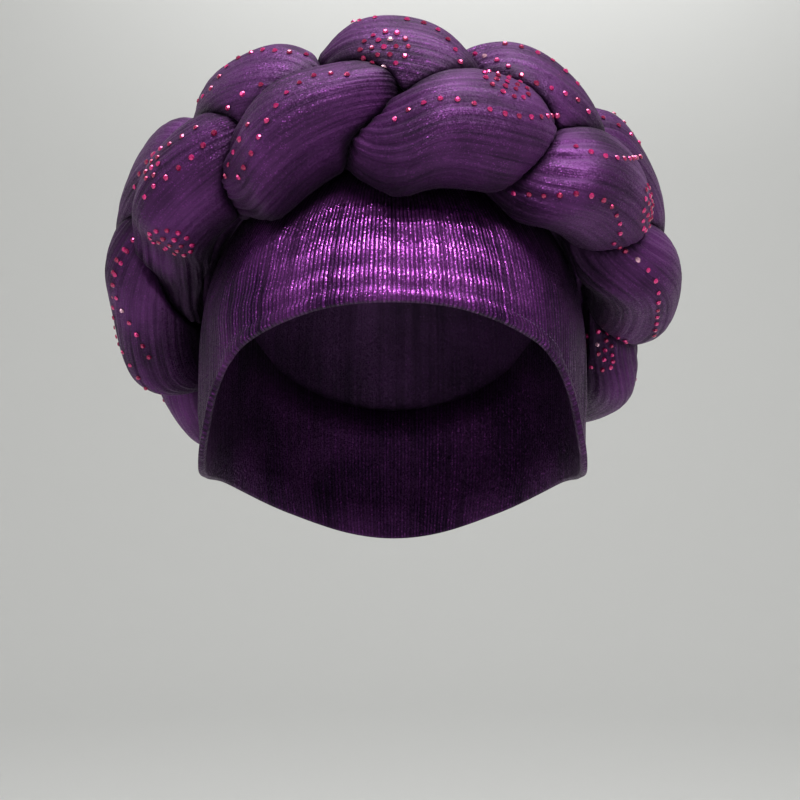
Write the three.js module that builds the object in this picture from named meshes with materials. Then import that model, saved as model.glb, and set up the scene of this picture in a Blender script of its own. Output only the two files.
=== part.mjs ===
// Tied gele head tie: a close turban cap of pleated cloth with a padded three
// strand braid laid round it as a ring. It is modelled as it sits on a head.
// Millimetres, +Z up. The front of the head looks along -Y. The origin is in
// the middle of the head opening, level with the tops of the ears.

import * as THREE from 'three';

// Driving dimensions

// Head: the inside of the cap, a dome with upright sides below its widest level
const HEAD = {
  halfWidth: 78,
  halfLength: 97,
  widestLevel: 45,
  topLevel: 130,
  planRoundness: 2.1,
  domeRoundness: 2.3,
  domeArc: 134,
  napeTuck: 0.1,
  tuckDepth: 35,
  tuckCurve: 1.5,
};

// Cloth walls, as distances out from the head
const BAND_WALL = { inner: 0, outer: 3 };
const CROWN_WALL = { inner: 4, outer: 6 };

// Lower edge of the band: height of the face opening and nape, by degrees round
// from the front
const RIM = [
  { around: 0, height: 66 },
  { around: 20, height: 63.5 },
  { around: 43, height: 53 },
  { around: 53, height: 44 },
  { around: 63, height: 30 },
  { around: 72, height: 14 },
  { around: 86, height: 0 },
  { around: 110, height: -6 },
  { around: 140, height: -22 },
  { around: 162, height: -32 },
  { around: 180, height: -35 },
];

// Seat of the braid on the cap: a slanting plane, high in front and low behind
const SEAT = { frontY: -46, frontZ: 121, napeY: 97, napeZ: 15 };

// How far the band and the crown reach past the seat, under the braid
const LAP = { band: 10, crown: 10 };

// Slack folds of the band beside the temple, from one point to another, each
// given as degrees round and millimetres above the widest level
const SLACK_FOLDS = [
  { fromAround: -38, fromRise: 42, toAround: -60, toRise: 14, width: 7, height: 1.6 },
  { fromAround: -32, fromRise: 20, toAround: -54, toRise: 12, width: 5, height: 1.0 },
  { fromAround: 40, fromRise: 44, toAround: 64, toRise: 10, width: 8, height: 1.2 },
];

// Gathers of the crown: they start this far above the seat, inside the braid, and
// fade this far below the top
const CROWN_GATHERS = { count: 10, height: 1.2, startAbove: 34, fullAbove: 60, fade: 30 };

// Centreline of the braid ring: the shape is a sum of a few waves round the head
const RING = {
  width: 93,
  widthThird: -2.5,
  depthMiddle: 17.8,
  depth: -90.6,
  depthSecond: 7,
  levelMiddle: 82.7,
  level: 61.1,
  levelSecond: -2.6,
  lean: 12.3,
  leanFront: 31.9,
  leanSecond: 0.6,
  planWidth: 95,
  planLength: 115,
};

// Strand of the braid: how far it swings across and over, and its own girth
const STRAND = {
  count: 3,
  swing: 19,
  crossing: 6.6,
  halfWidth: 26.2,
  halfHeight: 17.2,
  innerFullness: 1.35,
  roundness: 2.2,
  pinch: 0.35,
  heightPinch: 0.5,
  dwell: 0.26,
  crossingLead: 12,
  pinchLead: 4.5,
  turnsRound: 4,
};

// Turns of a strand, in degrees, over which its inner side widens at the start of an
// inner lobe, and narrows along it
const INNER_SIDE = {
  startRise: [85, 125],
  startFall: [165, 215],
  trailRise: [172, 245],
  trailFall: [300, 345],
};

// Lobes: degrees round the ring at which the braid has come to a given turn
const LOBES = [
  { around: -97, turn: 112 },
  { around: -80, turn: 140 },
  { around: -66, turn: 168 },
  { around: -49, turn: 229 },
  { around: -12, turn: 352 },
  { around: 18, turn: 452 },
  { around: 52, turn: 573 },
  { around: 85, turn: 688 },
  { around: 120, turn: 812 },
  { around: 147, turn: 940 },
  { around: 171, turn: 1065 },
  { around: 195, turn: 1185 },
  { around: 219, turn: 1305 },
  { around: 241, turn: 1425 },
];

// Fullness round the ring: size of the lobes of each row, how far the inner side of a
// lobe widens at its start and trails off, and small moves of the braid across and out
const FULLNESS = [
  { around: -180, outerRow: 1, innerRow: 1, start: 0, trail: 0.2, across: 0, out: 2 },
  { around: -125, outerRow: 1, innerRow: 1, start: 0, trail: 0.2, across: 0, out: 0.5 },
  { around: -90, outerRow: 1.1, innerRow: 0.9, start: -0.3, trail: 0.2, across: 1.5, out: 2 },
  { around: -70, outerRow: 1, innerRow: 0.82, start: -0.7, trail: 0.35, across: 1, out: 1 },
  { around: -45, outerRow: 0.92, innerRow: 1, start: -0.1, trail: 0.45, across: 0, out: 0 },
  { around: 0, outerRow: 0.99, innerRow: 1.02, start: 0.12, trail: 0.6, across: 0, out: 1 },
  { around: 22, outerRow: 0.95, innerRow: 1.02, start: 0, trail: 0.12, across: 0, out: 0.8 },
  { around: 45, outerRow: 0.9, innerRow: 1, start: 0, trail: 0.1, across: 0, out: 0.5 },
  { around: 90, outerRow: 0.95, innerRow: 0.92, start: -0.1, trail: 0.2, across: 2, out: 0 },
  { around: 125, outerRow: 0.97, innerRow: 0.93, start: 0, trail: 0.2, across: 1, out: 0.5 },
];

// Clearances between strands, and between a strand and the crown
const STRAND_GAP = 2.3;
const CROWN_GAP = 2;

// How a pressed girth is found: step and halvings along a direction, and the
// places round a corner that are tried, in half steps along and half sides round
const SEARCH = {
  step: 0.04,
  halvings: 8,
  seatHalvings: 40,
  around: [[0, 0], [-1, 0], [1, 0], [0, -1], [0, 1], [-1, -1], [1, 1], [-1, 1], [1, -1]],
};

// Fineness of the faceted solids
const FACETS = {
  strandSteps: 120,
  strandSides: 16,
  bandSteps: 72,
  bandLevels: 6,
  crownSteps: 72,
  crownLevels: 9,
};

// Cloth finishes
const FINISHES = {
  band: { color: 0x4a1c6b, roughness: 0.35, metalness: 0.3 },
  crown: { color: 0x3d1858, roughness: 0.5, metalness: 0.15 },
  strand: { color: 0x4b2362, roughness: 0.6, metalness: 0.1 },
};

const TURN = Math.PI * 2;
const radians = THREE.MathUtils.degToRad;

// Curves round the ring

// A smooth closed curve through one column of a table, by degrees round
function roundCurve(rows, valueOf) {
  const last = rows.length - 1;
  const row = (i) => {
    const turns = Math.floor(i / rows.length);
    const source = rows[i - turns * rows.length];
    return { at: source.around + 360 * turns, value: valueOf(source) };
  };
  const slope = (i) => (row(i + 1).value - row(i - 1).value) / (row(i + 1).at - row(i - 1).at);
  return (degrees) => {
    const start = rows[0].around;
    const at = start + THREE.MathUtils.euclideanModulo(degrees - start, 360);
    let i = last;
    while (row(i).at > at) i -= 1;
    const from = row(i);
    const to = row(i + 1);
    const span = to.at - from.at;
    const t = (at - from.at) / span;
    const ease = t * t * (3 - 2 * t);
    const leave = t * (1 - t) * (1 - t) * span * slope(i);
    const arrive = t * t * (t - 1) * span * slope(i + 1);
    return THREE.MathUtils.lerp(from.value, to.value, ease) + leave + arrive;
  };
}

// The same through a table that runs from the front to the back, for both sides
function sideCurve(rows, valueOf) {
  const otherSide = rows.slice(1).map((row) => ({ ...row, around: -row.around })).reverse();
  return roundCurve([...otherSide, ...rows.slice(0, -1)], valueOf);
}

const rimHeight = sideCurve(RIM, (row) => row.height);
const lobeTurn = roundCurve(LOBES, (row) => row.turn - STRAND.turnsRound * row.around);
const outerRowSize = roundCurve(FULLNESS, (row) => row.outerRow);
const innerRowSize = roundCurve(FULLNESS, (row) => row.innerRow);
const lobeStart = roundCurve(FULLNESS, (row) => row.start);
const lobeTrail = roundCurve(FULLNESS, (row) => row.trail);
const braidAcross = roundCurve(FULLNESS, (row) => row.across);
const braidOut = roundCurve(FULLNESS, (row) => row.out);

// The cap

// A point of the cap: degrees round from the front, millimetres of arc above the
// widest level (below it where negative), and distance out from the head
function capPoint(degrees, rise, out) {
  const angle = radians(degrees);
  let level = HEAD.widestLevel + rise;
  let share = 1;
  if (rise > 0) {
    const climb = Math.min(rise / HEAD.domeArc, 1) * Math.PI / 2;
    const height = HEAD.topLevel - HEAD.widestLevel + out;
    level = HEAD.widestLevel + height * Math.sin(climb) ** (2 / HEAD.domeRoundness);
    share = Math.max(Math.cos(climb), 0) ** (2 / HEAD.planRoundness);
  } else if (level < 0) {
    share = 1 - HEAD.napeTuck * (-level / HEAD.tuckDepth) ** HEAD.tuckCurve;
  }
  const x = (HEAD.halfWidth + out) * share * Math.sin(angle);
  const y = -(HEAD.halfLength + out) * share * Math.cos(angle);
  return new THREE.Vector3(x, y, level);
}

// Whether a point is outside the cap's surface at a distance out from the head
function clearOfCap(point, out) {
  const lift = Math.max(point.z - HEAD.widestLevel, 0);
  const plan = Math.hypot(point.x / (HEAD.halfWidth + out), point.y / (HEAD.halfLength + out));
  const up = lift / (HEAD.topLevel - HEAD.widestLevel + out);
  return plan ** HEAD.planRoundness + up ** HEAD.domeRoundness > 1;
}

// Rise at which the cap meets the slanting seat of the braid
function seatRise(degrees) {
  const slant = (SEAT.napeZ - SEAT.frontZ) / (SEAT.napeY - SEAT.frontY);
  let low = -HEAD.widestLevel - HEAD.tuckDepth;
  let high = HEAD.domeArc;
  for (let step = 0; step < SEARCH.seatHalvings; step += 1) {
    const middle = (low + high) / 2;
    const point = capPoint(degrees, middle, 0);
    const above = point.z > SEAT.frontZ + slant * (point.y - SEAT.frontY);
    if (above) high = middle;
    else low = middle;
  }
  return low;
}

// Height of the band's slack folds over the head at one place
function slackFold(degrees, rise) {
  const arc = radians(HEAD.halfWidth);
  const place = new THREE.Vector3(degrees * arc, rise, 0);
  const nearest = new THREE.Vector3();
  return SLACK_FOLDS.reduce((sum, fold) => {
    const from = new THREE.Vector3(fold.fromAround * arc, fold.fromRise, 0);
    const to = new THREE.Vector3(fold.toAround * arc, fold.toRise, 0);
    new THREE.Line3(from, to).closestPointToPoint(place, true, nearest);
    const away = nearest.distanceTo(place) / fold.width;
    return sum + fold.height * Math.exp(-away * away);
  }, 0);
}

// Height of the crown's gathers, which start inside the braid and fade at the top
function crownGather(degrees, rise, seat) {
  const { count, height, startAbove, fullAbove, fade } = CROWN_GATHERS;
  const clearOfBraid = THREE.MathUtils.smoothstep(rise, seat + startAbove, seat + fullAbove);
  const beforeTop = 1 - THREE.MathUtils.smoothstep(rise, HEAD.domeArc - fade, HEAD.domeArc);
  const wave = 0.5 + 0.5 * Math.cos(radians(degrees) * count);
  return height * wave * clearOfBraid * beforeTop;
}

// The braid

// Where the braid is at one angle: its middle, and the directions out and across
function ringFrame(degrees) {
  const a = radians(degrees);
  const middle = new THREE.Vector3(
    RING.width * Math.sin(a) + RING.widthThird * Math.sin(3 * a),
    RING.depthMiddle + RING.depth * Math.cos(a) + RING.depthSecond * Math.cos(2 * a),
    RING.levelMiddle + RING.level * Math.cos(a) + RING.levelSecond * Math.cos(2 * a),
  );
  const along = new THREE.Vector3(
    RING.width * Math.cos(a) + 3 * RING.widthThird * Math.cos(3 * a),
    -RING.depth * Math.sin(a) - 2 * RING.depthSecond * Math.sin(2 * a),
    -RING.level * Math.sin(a) - 2 * RING.levelSecond * Math.sin(2 * a),
  ).normalize();
  const lean = radians(RING.lean + RING.leanFront * Math.cos(a) + RING.leanSecond * Math.cos(2 * a));
  const out = new THREE.Vector3(Math.sin(a) / RING.planWidth, -Math.cos(a) / RING.planLength, 0)
    .normalize()
    .multiplyScalar(Math.cos(lean));
  out.z = Math.sin(lean);
  out.addScaledVector(along, -out.dot(along)).normalize();
  const across = new THREE.Vector3().crossVectors(out, along);
  return { middle, out, across };
}

// A share that rises over one span of turns and falls over another
function riseAndFall(turned, rise, fall) {
  const { smoothstep } = THREE.MathUtils;
  return smoothstep(turned, ...rise) * (1 - smoothstep(turned, ...fall));
}

// How much wider or narrower a strand is on its inner side than on its outer side
function innerSide(degrees, phase) {
  const turned = THREE.MathUtils.euclideanModulo(THREE.MathUtils.radToDeg(phase), 360);
  const begun = riseAndFall(turned, INNER_SIDE.startRise, INNER_SIDE.startFall);
  const trailing = riseAndFall(turned, INNER_SIDE.trailRise, INNER_SIDE.trailFall);
  return 1 + lobeStart(degrees) * begun - lobeTrail(degrees) * trailing;
}

// Where one strand is in the braid's section at one angle, and how wide and high
function strandSection(degrees, strand) {
  const turn = radians(STRAND.turnsRound * degrees + lobeTurn(degrees));
  const own = turn - strand * TURN / STRAND.count;
  const phase = own + STRAND.dwell * Math.cos(2 * own);
  const outerShare = 0.5 + 0.5 * Math.cos(phase);
  const size = THREE.MathUtils.lerp(innerRowSize(degrees), outerRowSize(degrees), outerShare);
  const under = 0.5 - 0.5 * Math.sin(2 * phase + radians(STRAND.pinchLead));
  const lift = STRAND.crossing * Math.sin(2 * phase + radians(STRAND.crossingLead));
  return {
    across: STRAND.swing * Math.cos(phase) + braidAcross(degrees),
    out: lift + braidOut(degrees),
    halfWidth: STRAND.halfWidth * size * (1 - STRAND.pinch * under),
    innerSide: innerSide(degrees, phase),
    halfHeight: STRAND.halfHeight * Math.sqrt(size) * (1 - STRAND.heightPinch * STRAND.pinch * under),
  };
}

// Half width of a strand on its outer side, or on its inner side
function widthTowards(section, aside) {
  return section.halfWidth * (aside < 0 ? section.innerSide : 1);
}

// Half height of a strand on its outer side, or on its fuller side next to the cap
function heightTowards(section, up) {
  return section.halfHeight * (up < 0 ? STRAND.innerFullness : 1);
}

// How far a place is from the middle of a strand, where 1 is its full girth
function girthShare(section, across, out) {
  const up = out - section.out;
  const aside = across - section.across;
  const wide = Math.abs(aside) / widthTowards(section, aside);
  const high = Math.abs(up) / heightTowards(section, up);
  return (wide ** STRAND.roundness + high ** STRAND.roundness) ** (1 / STRAND.roundness);
}

// The full girth of a strand in one direction, as steps across and out
function fullReach(section, angle) {
  const across = widthTowards(section, Math.cos(angle)) * Math.cos(angle);
  const out = heightTowards(section, Math.sin(angle)) * Math.sin(angle);
  const reach = 1 / girthShare(section, section.across + across, section.out + out);
  return { across: reach * across, out: reach * out };
}

function bySteps(frame, across, out) {
  return frame.middle.clone()
    .addScaledVector(frame.across, across)
    .addScaledVector(frame.out, out);
}

// Share of its full girth that a strand keeps in one direction, where it is
// pressed by another strand or by the crown
function keptShare(degrees, strand, angle) {
  const frame = ringFrame(degrees);
  const sections = Array.from({ length: STRAND.count }, (_, k) => strandSection(degrees, k));
  const own = sections[strand];
  const others = sections.filter((_, k) => k !== strand);
  const reach = fullReach(own, angle);
  const open = (share) => {
    const across = own.across + share * reach.across;
    const out = own.out + share * reach.out;
    const meets = others.some((other) => {
      const gap = STRAND_GAP / (own.halfHeight + other.halfHeight);
      return share > girthShare(other, across, out) - gap;
    });
    return !meets && clearOfCap(bySteps(frame, across, out), CROWN_WALL.outer + CROWN_GAP);
  };
  let low = SEARCH.step;
  while (low < 1 && open(low + SEARCH.step)) low += SEARCH.step;
  let high = low + SEARCH.step;
  for (let step = 0; step < SEARCH.halvings; step += 1) {
    const middle = (low + high) / 2;
    if (open(middle)) low = middle;
    else high = middle;
  }
  return Math.min(low, 1);
}

// One closed section of a strand. Each corner takes the least share found round
// it, so that flat facets between corners stay clear of the next strand
function strandOutline(degrees, strand, steps, sides) {
  const frame = ringFrame(degrees);
  const own = strandSection(degrees, strand);
  const alongStep = 180 / steps;
  const sideStep = Math.PI / sides;
  return Array.from({ length: sides }, (_, side) => {
    const angle = side * TURN / sides;
    const shares = SEARCH.around.map(([along, turned]) => (
      keptShare(degrees + along * alongStep, strand, angle + turned * sideStep)
    ));
    const share = Math.min(...shares);
    const reach = fullReach(own, angle);
    return bySteps(frame, own.across + share * reach.across, own.out + share * reach.out);
  });
}

// Closed bodies from rows of points

// Volume inside a closed mesh, negative where its faces point inwards
function signedVolume(points, triangles) {
  return triangles.reduce((sum, [a, b, c]) => {
    const normal = new THREE.Vector3().crossVectors(points[b], points[c]);
    return sum + points[a].dot(normal) / 6;
  }, 0);
}

// A geometry from points and triangles, with its faces turned outwards
function bodyFrom(points, triangles) {
  const outward = signedVolume(points, triangles) > 0;
  const corners = triangles.flatMap(([a, b, c]) => (outward ? [a, b, c] : [a, c, b]));
  const geometry = new THREE.BufferGeometry().setFromPoints(points);
  geometry.setIndex(corners);
  geometry.computeVertexNormals();
  return geometry;
}

// A body from closed outlines set round a ring
function ringBody(outlines) {
  const sides = outlines[0].length;
  const index = (i, j) => (i % outlines.length) * sides + (j % sides);
  const triangles = outlines.flatMap((outline, i) => outline.flatMap((_, j) => [
    [index(i, j), index(i + 1, j), index(i + 1, j + 1)],
    [index(i, j), index(i + 1, j + 1), index(i, j + 1)],
  ]));
  return bodyFrom(outlines.flat(), triangles);
}

// A body from open outlines set round an axis, each running from just beside one
// pole to just beside the other
function poleBody(outlines, firstPole, lastPole) {
  const rows = outlines[0].length;
  const index = (i, j) => (i % outlines.length) * rows + j;
  const first = outlines.length * rows;
  const triangles = outlines.flatMap((outline, i) => {
    const walls = outline.slice(1).flatMap((_, j) => [
      [index(i, j), index(i + 1, j), index(i + 1, j + 1)],
      [index(i, j), index(i + 1, j + 1), index(i, j + 1)],
    ]);
    const firstFace = [first, index(i + 1, 0), index(i, 0)];
    const lastFace = [first + 1, index(i, rows - 1), index(i + 1, rows - 1)];
    return [...walls, firstFace, lastFace];
  });
  return bodyFrom([...outlines.flat(), firstPole, lastPole], triangles);
}

// Sub-parts

// Band round the head: a doubled cloth wall from the rim to under the braid
function bandGeometry() {
  const outlines = Array.from({ length: FACETS.bandSteps }, (_, i) => {
    const degrees = i * 360 / FACETS.bandSteps - 180;
    const bottom = rimHeight(degrees) - HEAD.widestLevel;
    const rim = bottom > 0 ? riseAtLevel(rimHeight(degrees)) : bottom;
    const top = seatRise(degrees) + LAP.band;
    const levels = Array.from({ length: FACETS.bandLevels + 1 }, (__, j) => (
      THREE.MathUtils.lerp(rim, top, j / FACETS.bandLevels)
    ));
    const wall = (out) => levels.map((rise) => (
      capPoint(degrees, rise, out + slackFold(degrees, rise))
    ));
    return [...wall(BAND_WALL.outer), ...wall(BAND_WALL.inner).reverse()];
  });
  return ringBody(outlines);
}

// Arc above the widest level at which the head reaches a given height
function riseAtLevel(level) {
  const share = (level - HEAD.widestLevel) / (HEAD.topLevel - HEAD.widestLevel);
  const climb = Math.asin(share ** (HEAD.domeRoundness / 2));
  return climb / (Math.PI / 2) * HEAD.domeArc;
}

// Crown: a thin gathered dome from under the braid to the top of the head
function crownGeometry() {
  const outlines = Array.from({ length: FACETS.crownSteps }, (_, i) => {
    const degrees = i * 360 / FACETS.crownSteps - 180;
    const seat = seatRise(degrees);
    const bottom = seat - LAP.crown;
    const levels = Array.from({ length: FACETS.crownLevels }, (__, j) => (
      THREE.MathUtils.lerp(HEAD.domeArc, bottom, (j + 1) / FACETS.crownLevels)
    ));
    const wall = (out) => levels.map((rise) => (
      capPoint(degrees, rise, out + crownGather(degrees, rise, seat))
    ));
    return [...wall(CROWN_WALL.outer), ...wall(CROWN_WALL.inner).reverse()];
  });
  const top = (out) => capPoint(0, HEAD.domeArc, out);
  return poleBody(outlines, top(CROWN_WALL.outer), top(CROWN_WALL.inner));
}

// One padded strand, all the way round the head and back into itself
function strandGeometry(strand) {
  const outlines = Array.from({ length: FACETS.strandSteps }, (_, i) => (
    strandOutline(
      i * 360 / FACETS.strandSteps - 180,
      strand,
      FACETS.strandSteps,
      FACETS.strandSides,
    )
  ));
  return ringBody(outlines);
}

function clothMesh(name, geometry, finish) {
  const mesh = new THREE.Mesh(geometry, new THREE.MeshStandardMaterial(finish));
  mesh.name = name;
  return mesh;
}

const headTie = new THREE.Group();
headTie.name = 'head_tie';
headTie.add(clothMesh('headband', bandGeometry(), FINISHES.band));
headTie.add(clothMesh('crown', crownGeometry(), FINISHES.crown));
for (let strand = 0; strand < STRAND.count; strand += 1) {
  headTie.add(clothMesh(`strand_${strand + 1}`, strandGeometry(strand), FINISHES.strand));
}

export default headTie;
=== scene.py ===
"""Looks of a ready-tied gele head tie: a close turban cap of pleated lurex cloth with a
thick padded three-strand braid laid round it, sewn by hand and dotted with rhinestones.

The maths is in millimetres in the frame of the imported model, and a mesh is made in metres.
The front of the head looks along -Y, and places round the head are degrees from the front
towards the wearer's left.
"""

import logging
import math
from dataclasses import dataclass, replace
from enum import Enum
from typing import Any, Sequence

import bpy
import numpy as np
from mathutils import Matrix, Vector
from mathutils.bvhtree import BVHTree


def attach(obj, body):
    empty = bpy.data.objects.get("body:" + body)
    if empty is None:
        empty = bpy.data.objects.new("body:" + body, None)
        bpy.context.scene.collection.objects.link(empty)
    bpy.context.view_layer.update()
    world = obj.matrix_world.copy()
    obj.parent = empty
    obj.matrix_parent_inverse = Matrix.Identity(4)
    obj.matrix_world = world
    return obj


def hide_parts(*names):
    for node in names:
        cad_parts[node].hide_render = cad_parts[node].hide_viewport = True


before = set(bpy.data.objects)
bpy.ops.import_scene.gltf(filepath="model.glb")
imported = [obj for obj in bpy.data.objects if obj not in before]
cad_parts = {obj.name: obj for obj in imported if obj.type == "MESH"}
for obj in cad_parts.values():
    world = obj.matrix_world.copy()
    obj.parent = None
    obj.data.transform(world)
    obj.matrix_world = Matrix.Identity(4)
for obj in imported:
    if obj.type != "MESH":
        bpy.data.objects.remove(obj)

Grid = np.ndarray
Colour = tuple[float, float, float]
log = logging.getLogger("head_tie")

MM = 0.001
FULL_TURN = 360.0


class Slot(Enum):
    """Material slots."""

    BAND = "band_cloth"
    CROWN = "crown_cloth"
    BRAID = "braid_cloth"
    THREAD = "stitch_thread"
    STONE = "rhinestone"


class Hold(Enum):
    """How a sheet of cloth is held."""

    STRETCHED = "stretch_and_highlight"
    GATHERED = "gathered"


# Curves and noise


@dataclass(frozen=True)
class RoundCurve:
    """A smooth closed curve through values at several places round the head.

    Args:
        places: Degrees round, in rising order and within one turn.
        values: The value at each place.
    """

    places: tuple[float, ...]
    values: tuple[float, ...]

    def at(self, degrees: Grid) -> Grid:
        """Reads the curve.

        Args:
            degrees: Places round the head.

        Returns:
            The curve's value at each place.
        """
        start = self.places[0]
        turned = np.mod(degrees - start, FULL_TURN) + start
        before, after = self.places[-1] - FULL_TURN, start + FULL_TURN
        x = np.array([before, *self.places, after, self.places[1] + FULL_TURN])
        y = np.array([self.values[-1], *self.values, self.values[0], self.values[1]])
        slope = (y[2:] - y[:-2]) / (x[2:] - x[:-2])
        i = np.clip(np.searchsorted(x, turned, side="right") - 1, 1, len(self.places))
        span = x[i + 1] - x[i]
        t = (turned - x[i]) / span
        ease = t * t * (3 - 2 * t)
        leave, arrive = t * (1 - t) ** 2, t * t * (t - 1)
        ends = y[i] + (y[i + 1] - y[i]) * ease
        return ends + span * (leave * slope[i - 1] + arrive * slope[i])


@dataclass(frozen=True)
class SideCurve:
    """A smooth curve from the front to the back, the same on both sides of the head.

    Args:
        places: Degrees from the front, from 0 to 180.
        values: The value at each place.
    """

    places: tuple[float, ...]
    values: tuple[float, ...]

    def at(self, degrees: Grid) -> Grid:
        """Reads the curve.

        Args:
            degrees: Places round the head.

        Returns:
            The curve's value at each place.
        """
        sides = tuple(-p for p in self.places[1:][::-1]) + self.places[:-1]
        values = self.values[1:][::-1] + self.values[:-1]
        return RoundCurve(sides, values).at(degrees)


def smooth_step(low: float, high: float, x: Grid) -> Grid:
    """Rises smoothly from 0 at low to 1 at high."""
    t = np.clip((x - low) / (high - low), 0, 1)
    return t * t * (3 - 2 * t)


def blend(low: Grid, high: Grid, share: Grid) -> Grid:
    """The value that lies a share of the way from low to high."""
    return low + (high - low) * share


def places_round(count: int) -> Grid:
    """Evenly spaced places round the head, in degrees from the nape over the front."""
    return np.arange(count) / count * FULL_TURN - FULL_TURN / 2


def unit_vectors(vectors: Grid) -> Grid:
    """The vectors, each made one long."""
    return vectors / np.linalg.norm(vectors, axis=-1, keepdims=True)


@dataclass(frozen=True)
class Drift:
    """Slow uneven waves over two turning coordinates, the same at every run.

    Args:
        seed: Which uneven pattern it is.
        round_waves: The most waves round the first coordinate.
        girth_waves: The most waves round the second coordinate.
        count: How many waves are summed.
        headroom: What the sum is divided by to stay within about 1.
    """

    seed: int
    round_waves: int
    girth_waves: int
    count: int = 14
    headroom: float = 1.6

    def of(self, number: int) -> "Drift":
        """The pattern of the same kind that belongs to a piece's number."""
        return replace(self, seed=self.seed + number)

    def at(self, along: Grid, girth: Grid) -> Grid:
        """Reads the pattern.

        Args:
            along: First coordinate in radians.
            girth: Second coordinate in radians.

        Returns:
            A value of about -1 to 1 for each pair.
        """
        rng = np.random.default_rng(self.seed)
        total = np.zeros(np.broadcast(along, girth).shape)
        for _ in range(self.count):
            m = rng.integers(1, self.round_waves + 1)
            n = rng.integers(-self.girth_waves, self.girth_waves + 1)
            total = total + np.cos(m * along + n * girth + rng.uniform(0, math.tau))
        return total / math.sqrt(self.count / 2) / self.headroom


# Meshes


def add_object(name: str, data: bpy.types.ID) -> bpy.types.Object:
    """Makes an object and links it to the scene.

    Args:
        name: Name of the object.
        data: Its mesh, lamp or camera.

    Returns:
        The object.
    """
    made = bpy.data.objects.new(name, data)
    bpy.context.scene.collection.objects.link(made)
    return made


def mesh_object(name: str, points: Grid, faces: Sequence[Sequence[int]]) -> bpy.types.Object:
    """Makes a smooth mesh object at the origin, with its faces turned outwards.

    Args:
        name: Name of the object.
        points: Corners in millimetres, one row each.
        faces: Corner numbers of each face.

    Returns:
        The new object, linked to the scene.
    """
    mesh = bpy.data.meshes.new(name)
    mesh.from_pydata((points * MM).tolist(), [], faces)
    if inside_out(points, np.asarray(mesh_triangles(mesh))):
        mesh.flip_normals()
    mesh.shade_smooth()
    return add_object(name, mesh)


def mesh_triangles(mesh: bpy.types.Mesh) -> Grid:
    """Reads a mesh's triangles.

    Args:
        mesh: The mesh.

    Returns:
        Corner numbers, three in a row.
    """
    mesh.calc_loop_triangles()
    corners = np.empty(len(mesh.loop_triangles) * 3, dtype=np.int32)
    mesh.loop_triangles.foreach_get("vertices", corners)
    return corners.reshape(-1, 3)


def inside_out(points: Grid, triangles: Grid) -> bool:
    """Whether the faces of a closed mesh point inwards."""
    a, b, c = (points[triangles[:, i]] for i in range(3))
    return float(np.einsum("ij,ij->i", a, np.cross(b, c)).sum()) < 0


def grid_faces(rows: int, columns: int, close_columns: bool = True) -> list[list[int]]:
    """Quads of a grid of corners whose rows close on themselves.

    Args:
        rows: Number of rows, which close round.
        columns: Number of corners in each row.
        close_columns: Whether each row's last corner joins its first.

    Returns:
        Corner numbers of each quad.
    """
    i = np.arange(rows)[:, None]
    j = np.arange(columns if close_columns else columns - 1)[None, :]
    following, beside = (i + 1) % rows, (j + 1) % columns
    quads = np.stack(
        [i * columns + j, following * columns + j, following * columns + beside, i * columns + beside],
        axis=-1,
    )
    return quads.reshape(-1, 4).tolist()


def add_attribute(mesh: bpy.types.Mesh, name: str, values: Grid) -> None:
    """Keeps a number or a vector at each corner of a mesh, for its materials.

    Args:
        mesh: The mesh.
        name: Name of the attribute.
        values: One number or one row of three for each corner.
    """
    vector = values.ndim == 2
    kind = "FLOAT_VECTOR" if vector else "FLOAT"
    made = mesh.attributes.new(name, kind, "POINT")
    made.data.foreach_set("vector" if vector else "value", values.astype(np.float32).ravel())


def grid_normals(points: Grid) -> Grid:
    """Finds which way a closed grid of points faces.

    Args:
        points: The grid, with x, y and z last.

    Returns:
        Unit normals, pointing away from each row's middle.
    """
    along = np.roll(points, -1, 0) - np.roll(points, 1, 0)
    round_it = np.roll(points, -1, 1) - np.roll(points, 1, 1)
    normal = np.cross(along, round_it)
    normal /= np.linalg.norm(normal, axis=-1, keepdims=True) + 1e-9
    outward = points - points.mean(axis=1, keepdims=True)
    side = np.sign((normal * outward).sum(axis=(0, 1, 2)))
    return normal * side


def soften(points: Grid, passes: int) -> Grid:
    """Rounds a closed grid of points a little by moving each towards its neighbours.

    Args:
        points: The grid, with x, y and z last.
        passes: How many times each point is moved.

    Returns:
        The rounded grid.
    """
    for _ in range(passes):
        near = np.roll(points, 1, 0) + np.roll(points, -1, 0)
        near = near + np.roll(points, 1, 1) + np.roll(points, -1, 1)
        points = 0.5 * points + 0.125 * near
    return points


# Node trees

Linkable = Any


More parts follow.
